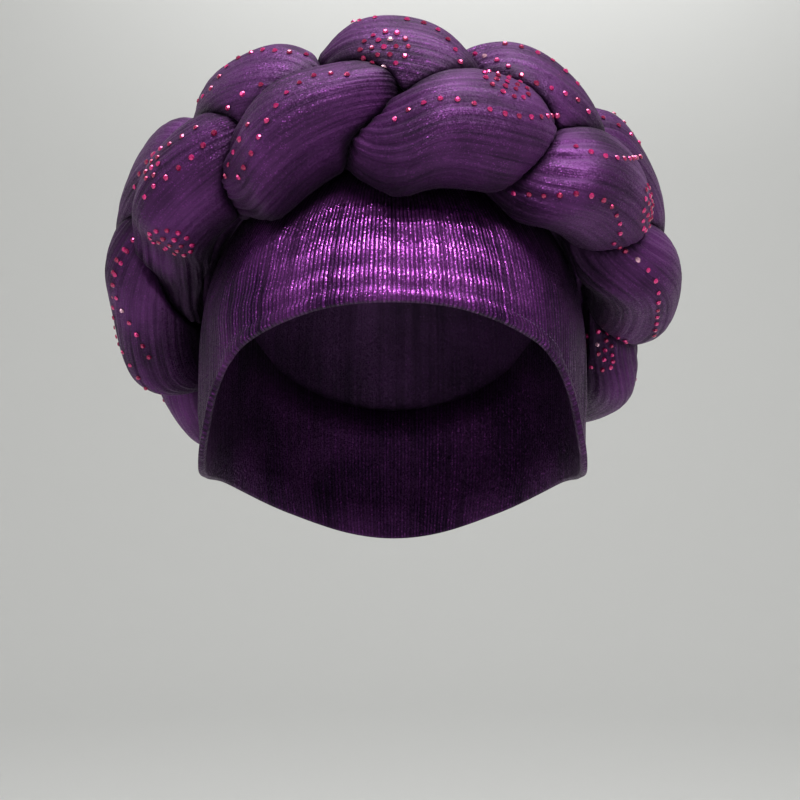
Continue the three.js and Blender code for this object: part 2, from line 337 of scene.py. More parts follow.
class Bench:
    """A node tree that is being built."""

    def __init__(self, tree: bpy.types.NodeTree) -> None:
        """Keeps the tree to build in."""
        self.tree = tree

    def node(
        self, kind: str, inputs: dict[str | int, Linkable] | None = None, **settings: Any
    ) -> bpy.types.Node:
        """Adds a node.

        Args:
            kind: Blender's name of the node's type.
            inputs: Values, or wires to link, by the input's name or number.
            settings: The node's own settings, which are set first.

        Returns:
            The new node.
        """
        made = self.tree.nodes.new(kind)
        for name, value in settings.items():
            setattr(made, name, value)
        for key, value in (inputs or {}).items():
            self.connect(self._socket(made.inputs, key), value)
        return made

    @staticmethod
    def _socket(sockets: Sequence[bpy.types.NodeSocket], key: str | int) -> bpy.types.NodeSocket:
        """Finds a socket.

        Args:
            sockets: A node's inputs or outputs.
            key: The socket's number, or its name.

        Returns:
            The socket, and of those that share a name the one in use.
        """
        if isinstance(key, int):
            return sockets[key]
        return next(s for s in sockets if s.name == key and s.enabled)

    def connect(self, socket: bpy.types.NodeSocket, value: Linkable) -> None:
        """Links an input, or sets its value.

        Args:
            socket: The input.
            value: A wire to link, or a value.
        """
        if isinstance(value, Wire):
            self.tree.links.new(value.socket, socket)
        else:
            socket.default_value = value

    def out(self, made: bpy.types.Node, key: str | int = 0) -> "Wire":
        """An output of a node, ready for maths."""
        return Wire(self, self._socket(made.outputs, key))

    def vector(self, operation: str, *values: Linkable, **named: Linkable) -> "Wire":
        """The result of a Vector Math node."""
        inputs = {**dict(enumerate(values)), **named}
        return self.out(self.node("ShaderNodeVectorMath", inputs, operation=operation))

    def mix(self, share: Linkable, low: Linkable, high: Linkable) -> "Wire":
        """Mixes two colours.

        Args:
            share: How far the colour lies on the way from low to high, 0 to 1.
            low: The colour at 0.
            high: The colour at 1.

        Returns:
            The mixed colour.
        """
        ends = [(*c, 1.0) if isinstance(c, tuple) else c for c in (low, high)]
        inputs = dict(zip(("Factor", "A", "B"), (share, *ends)))
        made = self.node("ShaderNodeMix", inputs, data_type="RGBA", clamp_factor=True)
        return self.out(made, "Result")

    def noise(self, place: Linkable, scale: float, detail: float, roughness: float = 0.5) -> "Wire":
        """Uneven values of about 0 to 1."""
        inputs = {"Vector": place, "Scale": scale, "Detail": detail, "Roughness": roughness}
        return self.out(self.node("ShaderNodeTexNoise", inputs))

    def place(self) -> "Wire":
        """The place on the object that is shaded."""
        return self.out(self.node("ShaderNodeTexCoord"), "Object")

    def attribute(self, name: str, part: str = "Fac") -> "Wire":
        """What a mesh keeps under a name, read in a material."""
        return self.out(self.node("ShaderNodeAttribute", attribute_name=name), part)

    def stored(self, name: str, kind: str = "FLOAT") -> "Wire":
        """What a mesh keeps under a name, read in a geometry node tree."""
        made = self.node("GeometryNodeInputNamedAttribute", {"Name": name}, data_type=kind)
        return self.out(made, "Attribute")

    def keep(self, shape: "Wire", name: str, value: "Wire", **settings: str) -> "Wire":
        """The shape with a value kept on it under a name."""
        inputs = {"Geometry": shape, "Name": name, "Value": value}
        return self.out(self.node("GeometryNodeStoreNamedAttribute", inputs, **settings))

    def surface(self, inputs: dict[str | int, Linkable]) -> None:
        """Ends a material with a Principled shader."""
        shader = self.node("ShaderNodeBsdfPrincipled", inputs)
        self.node("ShaderNodeOutputMaterial", {"Surface": self.out(shader)})


class Wire:
    """A socket that takes part in written maths."""

    def __init__(self, bench: Bench, socket: bpy.types.NodeSocket) -> None:
        """Keeps the socket and the bench it is on."""
        self.bench = bench
        self.socket = socket

    def math(self, operation: str, *others: Linkable) -> "Wire":
        """The result of a Math node whose first input is this."""
        inputs = dict(enumerate([self, *others]))
        return self.bench.out(self.bench.node("ShaderNodeMath", inputs, operation=operation))

    def __add__(self, other: Linkable) -> "Wire":
        """The sum."""
        return self.math("ADD", other)

    def __sub__(self, other: Linkable) -> "Wire":
        """The difference."""
        return self.math("SUBTRACT", other)

    def __rsub__(self, other: float) -> "Wire":
        """A number less this."""
        return self.math("MULTIPLY_ADD", -1.0, other)

    def __mul__(self, other: Linkable) -> "Wire":
        """The product."""
        return self.math("MULTIPLY", other)

    def __pow__(self, other: Linkable) -> "Wire":
        """The power."""
        return self.math("POWER", other)

    __radd__ = __add__
    __rmul__ = __mul__

    def between(self, low: float, high: float) -> "Wire":
        """Rises smoothly from 0 at low to 1 at high.

        Args:
            low: Value at which it leaves 0.
            high: Value at which it reaches 1.

        Returns:
            The share.
        """
        inputs = {"Value": self, "From Min": low, "From Max": high}
        made = self.bench.node("ShaderNodeMapRange", inputs, interpolation_type="SMOOTHSTEP")
        return self.bench.out(made)

    def spread(self, low: float, high: float) -> "Wire":
        """Maps 0 to 1 onto low to high."""
        return self.math("MULTIPLY_ADD", high - low, low)


def new_material(name: str) -> tuple[bpy.types.Material, Bench]:
    """Starts an empty material.

    Args:
        name: Name of the material.

    Returns:
        The material and the bench that builds it.
    """
    made = bpy.data.materials.new(name)
    made.use_nodes = True
    made.node_tree.nodes.clear()
    return made, Bench(made.node_tree)


def new_tree(name: str, inputs: dict[str, str], output: str) -> Bench:
    """Starts a geometry node tree.

    Args:
        name: Name of the tree.
        inputs: Kind of each input, by the input's name.
        output: Name of its output, which is geometry.

    Returns:
        The bench that builds it.
    """
    tree = bpy.data.node_groups.new(name, "GeometryNodeTree")
    tree.is_modifier = True
    for socket, kind in inputs.items():
        tree.interface.new_socket(socket, in_out="INPUT", socket_type=f"NodeSocket{kind}")
    tree.interface.new_socket(output, in_out="OUTPUT", socket_type="NodeSocketGeometry")
    return Bench(tree)


def run_tree(made: bpy.types.Object, bench: Bench, sizes: dict[str, Any]) -> bpy.types.Object:
    """Runs a geometry node tree on an object and keeps its result as a plain mesh.

    Args:
        made: The object.
        bench: The bench that the tree was built on.
        sizes: Values of the tree's named inputs.

    Returns:
        The same object, with no modifiers.
    """
    modifier = made.modifiers.new(bench.tree.name, "NODES")
    modifier.node_group = bench.tree
    for item in bench.tree.interface.items_tree:
        if item.in_out == "INPUT" and item.name in sizes:
            modifier[item.identifier] = sizes[item.name]
    graph = bpy.context.evaluated_depsgraph_get()
    plain = bpy.data.meshes.new_from_object(
        made.evaluated_get(graph), preserve_all_data_layers=True, depsgraph=graph
    )
    made.modifiers.clear()
    made.data = plain
    return made


# Finishes


@dataclass(frozen=True)
class Lurex:
    """Pleated lurex cloth: matt purple threads with flat glittering ones between them.

    Args:
        name: Name of the material.
        ground: Colour of the cloth where it lies open.
        groove: Colour down between the pleats, partly the matt threads and partly painted shade in the
            creases.
        shine: Colour of the metal threads.
        metal: Share of metal thread in the weave.
        roughness: Roughness of the ground.
        glitter: How far the flat threads are tipped out of the surface.
        pleat_pitch: Millimetres from one fine pleat to the next.
        pleat_depth: Depth of the fine pleats in millimetres.
        pleat_run: How many pitches long a fine pleat stays the same.
        fuzz: Weight of the pale bloom at grazing angles.
        painted_shade_depth: How far the painted shade darkens the cloth towards its near-black tint.
        worn: How much the metal threads show in patches.
        painted_highlight: How much they show where the cloth is stretched.
        ribbed: Whether the attribute rib draws the pleats.
        coarse_pitch: Pitches of fine pleat from one coarse pleat to the next.
        coarse_share: Share of the coarse pleats in the relief.
        patch_scale: Patches of wear in a metre.
        thread_scale: Glittering threads in a metre.
        spark_from: Chance level above which a thread sparks.
        line_width: Width of a line of the relief, in pitches.
        groove_matt: How much rougher the cloth is between the pleats.
    """

    name: str
    ground: Colour
    groove: Colour
    shine: Colour
    metal: float
    roughness: float
    glitter: float
    pleat_pitch: float
    pleat_depth: float
    pleat_run: float
    fuzz: float
    painted_shade_depth: float = 0.8
    worn: float = 0.3
    # painted_highlight: How far the colour goes to the metal threads' colour along the stretch lines, a
    # painted highlight.
    painted_highlight: float = 0.3
    ribbed: bool = False
    coarse_pitch: float = 3.2
    coarse_share: float = 0.38
    patch_scale: float = 34.0
    thread_scale: float = 2300.0
    spark_from: float = 0.86
    line_width: float = 1.6
    groove_matt: float = 0.2

    def material(self) -> bpy.types.Material:
        """Builds the material.

        Returns:
            The material.
        """
        made, bench = new_material(self.name)
        place, stretch_and_highlight = bench.place(), bench.attribute("stretch_and_highlight")
        fine = self._streaks(bench, self.pleat_pitch, 3.0)
        coarse = self._streaks(bench, self.pleat_pitch * self.coarse_pitch, 2.0)
        pleat = fine * (1 - self.coarse_share) + coarse * self.coarse_share
        open_cloth = pleat.between(0.34, 0.62)
        if self.ribbed:
            open_cloth = open_cloth * bench.attribute("rib").between(0.4, 0.88)

        threads = bench.node("ShaderNodeTexVoronoi", {"Vector": place, "Scale": self.thread_scale})
        chance = bench.out(threads, "Color")
        level = bench.out(bench.node("ShaderNodeSeparateColor", {"Color": chance}), "Red")
        spark = (level + stretch_and_highlight * 0.55).between(self.spark_from, 1.0) * open_cloth
        patches = bench.noise(place, self.patch_scale, 3.0).between(0.3, 0.75)

        # The pleats' grooves take the darker groove colour: partly the matt threads, partly painted shade in
        # the creases.
        cloth = bench.mix(open_cloth, self.groove, self.ground)
        worn = bench.mix(patches * self.worn, cloth, self.shine)
        # Painted highlight: along the stretch lines the colour is pushed towards the bright thread colour and
        # more threads spark, standing in for highlight stripes.
        painted_highlight = bench.mix(stretch_and_highlight * open_cloth * self.painted_highlight, worn, self.shine)
        sparked = bench.mix(spark * (stretch_and_highlight * 0.35 + 0.6), painted_highlight, self.shine)
        # Painted shade: the cloth is darkened towards a near-black tint where the mesh marks shade: beside
        # the braid, near the cap, on the band's sides and on the lining.
        tint = bench.mix(bench.attribute("painted_shade") * self.painted_shade_depth, sparked, PAINTED_SHADE_TINT)

        normal = bench.out(bench.node("ShaderNodeNewGeometry"), "Normal")
        tip = bench.vector("SCALE", bench.vector("SUBTRACT", chance, (0.5, 0.5, 0.5)), Scale=self.glitter)
        tipped = bench.vector("NORMALIZE", bench.vector("ADD", normal, tip))
        relief = {"Height": pleat, "Distance": self.pleat_depth * MM * 2, "Strength": 1.0, "Normal": tipped}
        matt = min(self.roughness + self.groove_matt, 1.0)
        bench.surface(
            {
                "Base Color": tint,
                "Metallic": spark.spread(self.metal, min(self.metal + 0.4, 1.0)) + stretch_and_highlight * 0.3,
                "Roughness": open_cloth.spread(matt, self.roughness) - stretch_and_highlight * 0.16,
                "Normal": bench.out(bench.node("ShaderNodeBump", relief)),
                "Sheen Weight": self.fuzz,
                "Sheen Roughness": 0.45,
                "Sheen Tint": (*BLOOM_TINT, 1.0),
                "Specular IOR Level": 0.22,
            }
        )
        return made

    def _streaks(self, bench: Bench, pitch: float, detail: float) -> Wire:
        """Uneven lines that run along the cloth.

        Args:
            bench: Where to build.
            pitch: Millimetres from line to line.
            detail: Detail of the noise.

        Returns:
            Heights of 0 to 1.
        """
        across = 1.0 / (self.line_width * pitch)
        shrink = (across, across, across / self.pleat_run)
        run = bench.attribute("cloth_run", "Vector")
        return bench.noise(bench.vector("MULTIPLY", run, shrink), 1.0, detail, 0.6)


@dataclass(frozen=True)
class CutGlass:
    """Foil-backed cut stone.

    Args:
        name: Name of the material.
        colour: Colour of most stones.
        deep: Colour of the darker stones.
        pale: Colour of the few stones that are painted pale as a painted glint off their facets.
    """

    name: str
    colour: Colour
    deep: Colour
    pale: Colour

    def material(self) -> bpy.types.Material:
        """Builds the material.

        Returns:
            The material.
        """
        made, bench = new_material(self.name)
        tone = bench.attribute("tone")
        pink = bench.mix(tone.between(0.2, 0.8), self.deep, self.colour)
        bench.surface(
            {
                # Painted glint: a few stones, by chance, are painted pale to stand in for light off their
                # facets.
                "Base Color": bench.mix(tone.between(0.95, 0.97), pink, self.pale),
                "Metallic": 0.55,
                "Roughness": 0.12,
                "Coat Weight": 0.7,
                "Coat Roughness": 0.03,
            }
        )
        return made


@dataclass(frozen=True)
class Thread:
    """Twisted sewing thread.

    Args:
        name: Name of the material.
        colour: Colour of the thread.
    """

    name: str
    colour: Colour

    def material(self) -> bpy.types.Material:
        """Builds the material.

        Returns:
            The material.
        """
        made, bench = new_material(self.name)
        twist = bench.noise(bench.place(), 2600.0, 2.0)
        bump = bench.node("ShaderNodeBump", {"Height": twist, "Distance": 0.2 * MM, "Strength": 0.6})
        bench.surface(
            {
                "Base Color": (*self.colour, 1.0),
                "Roughness": twist.spread(0.5, 0.75),
                "Normal": bench.out(bump),
                "Sheen Weight": 0.3,
            }
        )
        return made


# Near-black colour of the painted shade in crevices, beside the braid and inside the cap.
PAINTED_SHADE_TINT = (0.006, 0.002, 0.009)
BLOOM_TINT = (0.78, 0.7, 0.86)
BRAID_LUREX = Lurex(
    name="braid_lurex",
    ground=(0.073, 0.017, 0.093),
    groove=(0.022, 0.006, 0.03),
    shine=(0.28, 0.066, 0.35),
    metal=0.5,
    roughness=0.45,
    glitter=0.5,
    pleat_pitch=1.1,
    pleat_depth=0.42,
    pleat_run=26.0,
    fuzz=0.04,
)
BAND_LUREX = Lurex(
    name="band_lurex",
    ground=(0.1, 0.013, 0.14),
    groove=(0.01, 0.002, 0.017),
    shine=(0.85, 0.19, 1.0),
    metal=0.72,
    roughness=0.36,
    glitter=0.6,
    pleat_pitch=0.8,
    pleat_depth=0.1,
    pleat_run=40.0,
    fuzz=0.02,
    painted_shade_depth=0.9,
    worn=0.13,
    painted_highlight=0.72,
    ribbed=True,
)
CROWN_LUREX = Lurex(
    name="crown_lurex",
    ground=(0.065, 0.019, 0.085),
    groove=(0.024, 0.008, 0.035),
    shine=(0.27, 0.08, 0.34),
    metal=0.45,
    roughness=0.42,
    glitter=0.5,
    pleat_pitch=1.0,
    pleat_depth=0.25,
    pleat_run=30.0,
    fuzz=0.08,
)
STONE_GLASS = CutGlass("rhinestone_glass", (0.82, 0.03, 0.25), (0.42, 0.012, 0.1), (0.85, 0.45, 0.6))
SEWING_THREAD = Thread("sewing_thread", (0.07, 0.015, 0.11))


# The cap

CROWN_OUTER = 6.0


@dataclass(frozen=True)
class HeadForm:
    """The inside of the cap: a dome with upright sides below its widest level.

    Sizes are millimetres. Rise is millimetres of arc above the widest level.
    """

    half_width: float = 78.0
    half_length: float = 97.0
    widest_level: float = 45.0
    top_level: float = 130.0
    plan_roundness: float = 2.1
    dome_roundness: float = 2.3
    dome_arc: float = 134.0
    nape_tuck: float = 0.1
    tuck_depth: float = 35.0
    seat_front: tuple[float, float] = (-46.0, 121.0)
    seat_nape: tuple[float, float] = (97.0, 15.0)
    halvings: int = 40
    rim: SideCurve = SideCurve(
        (0, 20, 43, 53, 63, 72, 86, 110, 140, 162, 180),
        (66, 63.5, 53, 44, 30, 14, 0, -6, -22, -32, -35),
    )

    def point(self, degrees: Grid, rise: Grid, out: Grid) -> Grid:
        """A point of the cap.

        Args:
            degrees: Places round the head.
            rise: Arc above the widest level, or below it where negative.
            out: Distance out from the head.

        Returns:
            Points, with x, y and z last.
        """
        angle = np.radians(degrees)
        climb = np.clip(rise / self.dome_arc, 0, 1) * math.pi / 2
        height = self.top_level - self.widest_level + out
        dome_level = self.widest_level + height * np.sin(climb) ** (2 / self.dome_roundness)
        level = np.where(rise > 0, dome_level, self.widest_level + rise)
        dome_share = np.clip(np.cos(climb), 0, 1) ** (2 / self.plan_roundness)
        depth = np.clip(-(self.widest_level + rise) / self.tuck_depth, 0, None)
        share = np.where(rise > 0, dome_share, 1 - self.nape_tuck * depth**1.5)
        x = (self.half_width + out) * share * np.sin(angle)
        y = -(self.half_length + out) * share * np.cos(angle)
        return np.stack(np.broadcast_arrays(x, y, level), axis=-1)

    def reach(self, points: Grid, out: float) -> Grid:
        """How far points reach, where 1 is the cap's surface.

        Args:
            points: Points, with x, y and z last.
            out: Distance of that surface out from the head.

        Returns:
            A number for each point, more than 1 outside the surface.
        """
        lift = np.maximum(points[..., 2] - self.widest_level, 0)
        plan = np.hypot(
            points[..., 0] / (self.half_width + out), points[..., 1] / (self.half_length + out)
        )
        up = lift / (self.top_level - self.widest_level + out)
        return plan**self.plan_roundness + up**self.dome_roundness

    def clearance(self, points: Grid, out: float) -> Grid:
        """About how far points are outside the cap's surface at a distance out from the head."""
        return (self.reach(points, out) ** (1 / self.plan_roundness) - 1) * self.half_width

    def rise_at_level(self, level: Grid) -> Grid:
        """Arc above the widest level at which the head reaches a given height.

        Args:
            level: Heights above the frame's origin.

        Returns:
            Rises, measured along the head.
        """
        share = np.clip((level - self.widest_level) / (self.top_level - self.widest_level), 0, 1)
        climb = np.arcsin(share ** (self.dome_roundness / 2))
        above = climb / (math.pi / 2) * self.dome_arc
        return np.where(level > self.widest_level, above, level - self.widest_level)

    def rim_rise(self, degrees: Grid) -> Grid:
        """Rise of the cap's lower edge at each place round the head."""
        return self.rise_at_level(self.rim.at(degrees))

    def seat_rise(self, degrees: Grid) -> Grid:
        """Rise at which the cap meets the slanting seat of the braid, found by halving.

        Args:
            degrees: Places round the head.

        Returns:
            Rises, measured along the head.
        """
        (front_y, front_z), (nape_y, nape_z) = self.seat_front, self.seat_nape
        slant = (nape_z - front_z) / (nape_y - front_y)
        low = np.full(np.shape(degrees), -self.widest_level - self.tuck_depth)
        high = np.full(np.shape(degrees), self.dome_arc)
        for _ in range(self.halvings):
            middle = (low + high) / 2
            point = self.point(degrees, middle, 0.0)
            above = point[..., 2] > front_z + slant * (point[..., 1] - front_y)
            low, high = np.where(above, low, middle), np.where(above, middle, high)
        return low


HEAD = HeadForm()


def upright_run(degrees: Grid, points: Grid, radius: float, upright: float = 1.0) -> Grid:
    """The cloth's own coordinates where it runs upright.

    Args:
        degrees: Place of each row round the head.
        points: The cloth's grid of points.
        radius: How far apart places round the head are kept.
        upright: Share of the height that counts.

    Returns:
        Coordinates in millimetres, with the cloth's run last.
    """
    angle = np.radians(np.broadcast_to(degrees, points.shape[:2]))
    return np.stack([radius * np.sin(angle), radius * np.cos(angle), upright * points[..., 2]], axis=-1)


@dataclass(frozen=True)
class SlackFold:
    """A soft slack fold of the band from one place to another.

    Args:
        start: Degrees round, and millimetres above the widest level.
        end: The same for its other end.
        width: Half its width.
        height: Its height, negative for a dent.
    """

    start: tuple[float, float]
    end: tuple[float, float]
    width: float
    height: float

    def at(self, degrees: Grid, rise: Grid) -> Grid:
        """Height of the fold at each place.

        Args:
            degrees: Places round the head.
            rise: Arc above the widest level.

        Returns:
            Heights in millimetres.
        """
        arc = math.radians(HEAD.half_width)
        place = np.stack(np.broadcast_arrays(degrees * arc, rise), axis=-1)
        first = np.array([self.start[0] * arc, self.start[1]])
        along = np.array([self.end[0] * arc, self.end[1]]) - first
        share = np.clip(((place - first) @ along) / (along @ along), 0, 1)
        away = np.linalg.norm(place - first - share[..., None] * along, axis=-1) / self.width
        return self.height * np.exp(-away * away)


@dataclass
class Headband:
    """Doubled pleated band round the head, with a folded and stitched hem.

    Sizes are millimetres, and places round the head are degrees from the front. Each
    stretch line, a soft ridge that also carries a painted highlight stripe, is given by
    its arc above the widest level and its half width.
    """

    inner: float = 0.2
    outer: float = 2.6
    lap: float = 10.0
    pleats: int = 286
    samples: int = 6
    rows: int = 46
    row_crowding: float = 1.15
    inner_rows: int = 5
    lining_inset: float = 0.4
    edge_drop: float = 0.9
    pleat_depth: float = 0.55
    hem_width: float = 4.2
    hem_bulge: float = 0.7
    hem_groove: tuple[float, float] = (0.5, 0.7)
    hem_pleating: float = 0.25
    stretch_line_height: float = 0.62
    # Each stretch line raises a soft ridge and also places a painted highlight stripe.
    stretch_highlight_lines: tuple[tuple[float, float], ...] = (
        (20.4, 0.7),
        (27.0, 1.9),
        (38.6, 3.9),
        (49.4, 2.3),
        (56.8, 2.3),
    )
    stretch_sag: float = 42.0
    stretch_middle: float = 2.0
    stretch_ends: tuple[float, float] = (44.0, 20.0)
    side_from: float = 40.0
    side_to: float = 62.0
    side_smoothing: float = 0.6
    # Painted shade: the lining and rolled edge, the band towards the sides of the head and the band next to
    # the braid are painted darker.
    lining_shade: float = 0.72
    side_shade: float = 0.55
    braid_shade: float = 6.5
    run_radius: float = 90.0
    folds: tuple[SlackFold, ...] = (
        SlackFold((-38, 42), (-60, 14), 7, 1.6),
        SlackFold((-32, 20), (-54, 12), 5, 1.0),
        SlackFold((40, 44), (64, 10), 8, 1.2),
        SlackFold((-70, 20), (-78, -20), 6, 0.9),
        SlackFold((70, 24), (77, -16), 6, 0.9),
    )
    flat: tuple[float, float] = (0.56, 0.15)
    flat_area: float = 0.05

    def build(self, carrier: "Carrier") -> bpy.types.Object:
        """Makes the band.

        Args:
            carrier: The braid, next to which the band's upper edge is given painted shade.

        Returns:
            The band's mesh object.
        """
        degrees = places_round(self.pleats * self.samples)[:, None]
        rim, top = HEAD.rim_rise(degrees), HEAD.seat_rise(degrees) + self.lap
        rise = blend(rim, top, np.linspace(0, 1, self.rows)[None, :] ** self.row_crowding)
        # The stretch lines shape soft ridges and mark the painted highlight stripes.
        lines = self._stretch_highlight(degrees, rise)
        outer = self.outer + self._relief(degrees, rise, rise - rim) + self.stretch_line_height * lines
        wall = HEAD.point(degrees, rise, outer)
        down = np.linspace(1, 0, self.inner_rows)[None, :]
        inner_rise = blend(rim + self.lining_inset, top - self.lining_inset, down)
        lining = HEAD.point(degrees, inner_rise, self.inner + 0 * inner_rise)
        roll = HEAD.point(degrees, rim - self.edge_drop, blend(self.inner, self.outer, 0.5) + 0 * rim)
        points = np.concatenate([wall, lining, roll], axis=1)
        made = mesh_object("headband_cloth", points.reshape(-1, 3), grid_faces(*points.shape[:2]))

        side = smooth_step(self.side_from, self.side_to, np.abs(degrees))
        above_hem = smooth_step(self.hem_width * 0.5, self.hem_width * 1.4, rise - rim)
        pleated = blend(self.hem_pleating, 1, above_hem) * (1 - self.side_smoothing * side)
        # Painted shade on the band: darker within reach of the braid and towards the sides of the head. The
        # lining and rolled edge get the lining's painted shade.
        painted_shade = np.maximum(carrier.shade(wall, self.braid_shade), self.side_shade * side + 0 * rise)
        hidden_shape = (len(points), points.shape[1] - self.rows)
        for name, seen, hidden in (
            ("pleated", pleated, 0.0),
            ("painted_shade", painted_shade, self.lining_shade),
            ("stretch_and_highlight", lines, 0.0),
        ):
            values = np.concatenate([seen, np.full(hidden_shape, hidden)], axis=1)
            add_attribute(made.data, name, values.ravel())
        turn = np.broadcast_to((degrees + FULL_TURN / 2) / FULL_TURN, points.shape[:2])
        add_attribute(made.data, "turn", turn.ravel())
        run = upright_run(degrees, points, self.run_radius)
        add_attribute(made.data, "cloth_run", run.reshape(-1, 3))
        return press_pleats(made, self.pleats, self.pleat_depth)

    def _relief(self, degrees: Grid, rise: Grid, above_rim: Grid) -> Grid:
        """Height of the hem and the slack folds over the band.

        Args:
            degrees: Places round the head.
            rise: Rises, measured along the head.
            above_rim: Rises above the band's lower edge.

        Returns:
            Heights in millimetres.
        """
        hem = self.hem_bulge * np.clip(1 - (above_rim / self.hem_width) ** 4, 0, 1)
        depth, width = self.hem_groove
        groove = -depth * np.exp(-(((above_rim - self.hem_width) / width) ** 2))
        return hem + groove + sum(fold.at(degrees, rise) for fold in self.folds)

    def _stretch_highlight(self, degrees: Grid, rise: Grid) -> Grid:
        """Lines across the front where the cloth is pulled tight into soft ridges, and where the band gets
        painted highlight stripes.

        Args:
            degrees: Places round the head.
            rise: Arc above the widest level.

        Returns:
            How tight the cloth is at each place, from 0 to 1, which also sets the strength of the painted
            highlight.
        """
        angle = np.radians(degrees)
        front = smooth_step(*self.stretch_ends, np.abs(degrees - self.stretch_middle))
        wander = 1.1 * np.sin(angle * 9.0 + 0.7) + 0.6 * np.sin(angle * 23.0)
        sag = self.stretch_sag * (1 - np.cos(angle))
        lines = sum(
            np.exp(-(((rise - centre + sag + wander * (0.3 + 0.25 * i)) / width) ** 2))
            for i, (centre, width) in enumerate(self.stretch_highlight_lines)
        )
        return np.clip(lines, 0, 1) * front

    def dress(self, made: bpy.types.Object) -> None:
        """Gives the band its finish and its place in the frame.

        Args:
            made: The band's object.
        """
        made.data.materials.clear()
        made.data.materials.append(BAND_LUREX.material())
        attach(made, "root")
        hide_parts("headband")


def press_pleats(made: bpy.types.Object, count: int, depth: float) -> bpy.types.Object:
    """Presses pleats into a cloth with a geometry node tree.

    The tree moves each corner down along its normal by the groove between two pleats. It
    reads where the corner is round the head from the attribute turn, and how far pleats
    show from the attribute pleated.

    Args:
        made: The cloth's object.
        count: Number of pleats in one turn.
        depth: Depth of a groove in millimetres.

    Returns:
        The same object.
    """
    sizes = {"Pleats in a turn": "Float", "Groove depth": "Float", "Seed": "Int"}
    bench = new_tree("press_pleats", {"Cloth": "Geometry", **sizes}, "Cloth")
    start = bench.node("NodeGroupInput")
    number = bench.stored("turn") * bench.out(start, "Pleats in a turn")
    which = {"W": number.math("FLOOR") + bench.out(start, "Seed")}
    uneven = bench.out(bench.node("ShaderNodeTexWhiteNoise", which, noise_dimensions="1D"), "Value")
    rib = (number.math("FRACT") * math.pi).math("SINE") ** 0.7
    groove = uneven.spread(0.45, 1.35) * bench.out(start, "Groove depth")
    sunk = (rib - 1.0) * groove * bench.stored("pleated")
    offset = bench.vector("SCALE", bench.out(bench.node("GeometryNodeInputNormal")), Scale=sunk)
    kept = bench.keep(bench.out(start, "Cloth"), "rib", rib, data_type="FLOAT", domain="POINT")
    moved = bench.node("GeometryNodeSetPosition", {"Geometry": kept, "Offset": offset})
    bench.node("NodeGroupOutput", {"Cloth": bench.out(moved)})
    return run_tree(made, bench, {"Pleats in a turn": float(count), "Groove depth": depth * MM, "Seed": 3})


@dataclass
class Crown:
    """Gathered dome that closes the cap inside the braid.

    Sizes are millimetres.
    """

    inner: float = 4.0
    lap: float = 10.0
    columns: int = 720
    rows: int = 60
    inner_rows: int = 10
    gathers: int = 34
    gather_height: float = 1.5
    gather_fade: float = 14.0
    # Painted shade on the crown's inner side.
    lining_shade: float = 0.75
    run_radius: float = 60.0
    run_upright: float = 0.4
    flat: tuple[float, float] = (0.24, 0.24)
    flat_area: float = 0.045

    def build(self) -> bpy.types.Object:
        """Makes the crown.

        Returns:
            The crown's mesh object.
        """
        degrees = places_round(self.columns)[:, None]
        top, bottom = HEAD.dome_arc + 0 * degrees, HEAD.seat_rise(degrees) - self.lap
        rise = blend(top, bottom, (np.arange(self.rows)[None, :] + 1) / self.rows)
        outer = HEAD.point(degrees, rise, CROWN_OUTER + self._gathering(degrees, rise))
        inner_rise = blend(top, bottom, 1 - np.arange(self.inner_rows)[None, :] / self.inner_rows)
        inner = HEAD.point(degrees, inner_rise, self.inner + 0 * inner_rise)
        points = np.concatenate([outer, inner], axis=1)
        count = points.shape[1]
        poles = [HEAD.point(np.array(0.0), np.array(HEAD.dome_arc), out) for out in (CROWN_OUTER, self.inner)]
        faces = grid_faces(self.columns, count, close_columns=False)
        pole = self.columns * count
        for i in range(self.columns):
            following = (i + 1) % self.columns
            faces.append([pole, following * count, i * count])
            faces.append([pole + 1, i * count + count - 1, following * count + count - 1])
        made = mesh_object("crown_cloth", np.concatenate([points.reshape(-1, 3), np.array(poles)]), faces)
        run = upright_run(degrees, points, self.run_radius, self.run_upright)
        add_attribute(made.data, "cloth_run", np.concatenate([run.reshape(-1, 3), np.zeros((2, 3))]))
        # Painted shade: the crown's inner side and its inner pole are painted darker.
        painted_shade = np.zeros((self.columns, count))
        painted_shade[:, self.rows :] = self.lining_shade
        add_attribute(made.data, "painted_shade", np.concatenate([painted_shade.ravel(), [0.0, self.lining_shade]]))
        return made

    def _gathering(self, degrees: Grid, rise: Grid) -> Grid:
        """Height of the gathers over the crown.

        Args:
            degrees: Places round the head.
            rise: Rises, measured along the head.

        Returns:
            Heights in millimetres.
        """
        angle = np.radians(degrees)
        uneven = Drift(21, 9, 3).at(angle, rise / 40)
        wave = np.abs(np.sin(self.gathers / 2 * angle + 1.6 * uneven)) ** 0.8
        fade = smooth_step(HEAD.dome_arc, HEAD.dome_arc - self.gather_fade, rise)
        low = 0.8 * Drift(22, 5, 2).at(angle, rise / 30)
        return (self.gather_height * wave + low) * fade

    def dress(self, made: bpy.types.Object) -> None:
        """Gives the crown its finish and its place in the frame.

        Args:
            made: The crown's object.
        """
        made.data.materials.append(CROWN_LUREX.material())
        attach(made, "root")
        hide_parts("crown")


# The braid


@dataclass(frozen=True)
class Section:
    """Where one strand is in the braid's section, and its half sizes, at each place round."""

    across: Grid
    out: Grid
    half_width: Grid
    half_height: Grid
    under: Grid
    inner_side: Grid


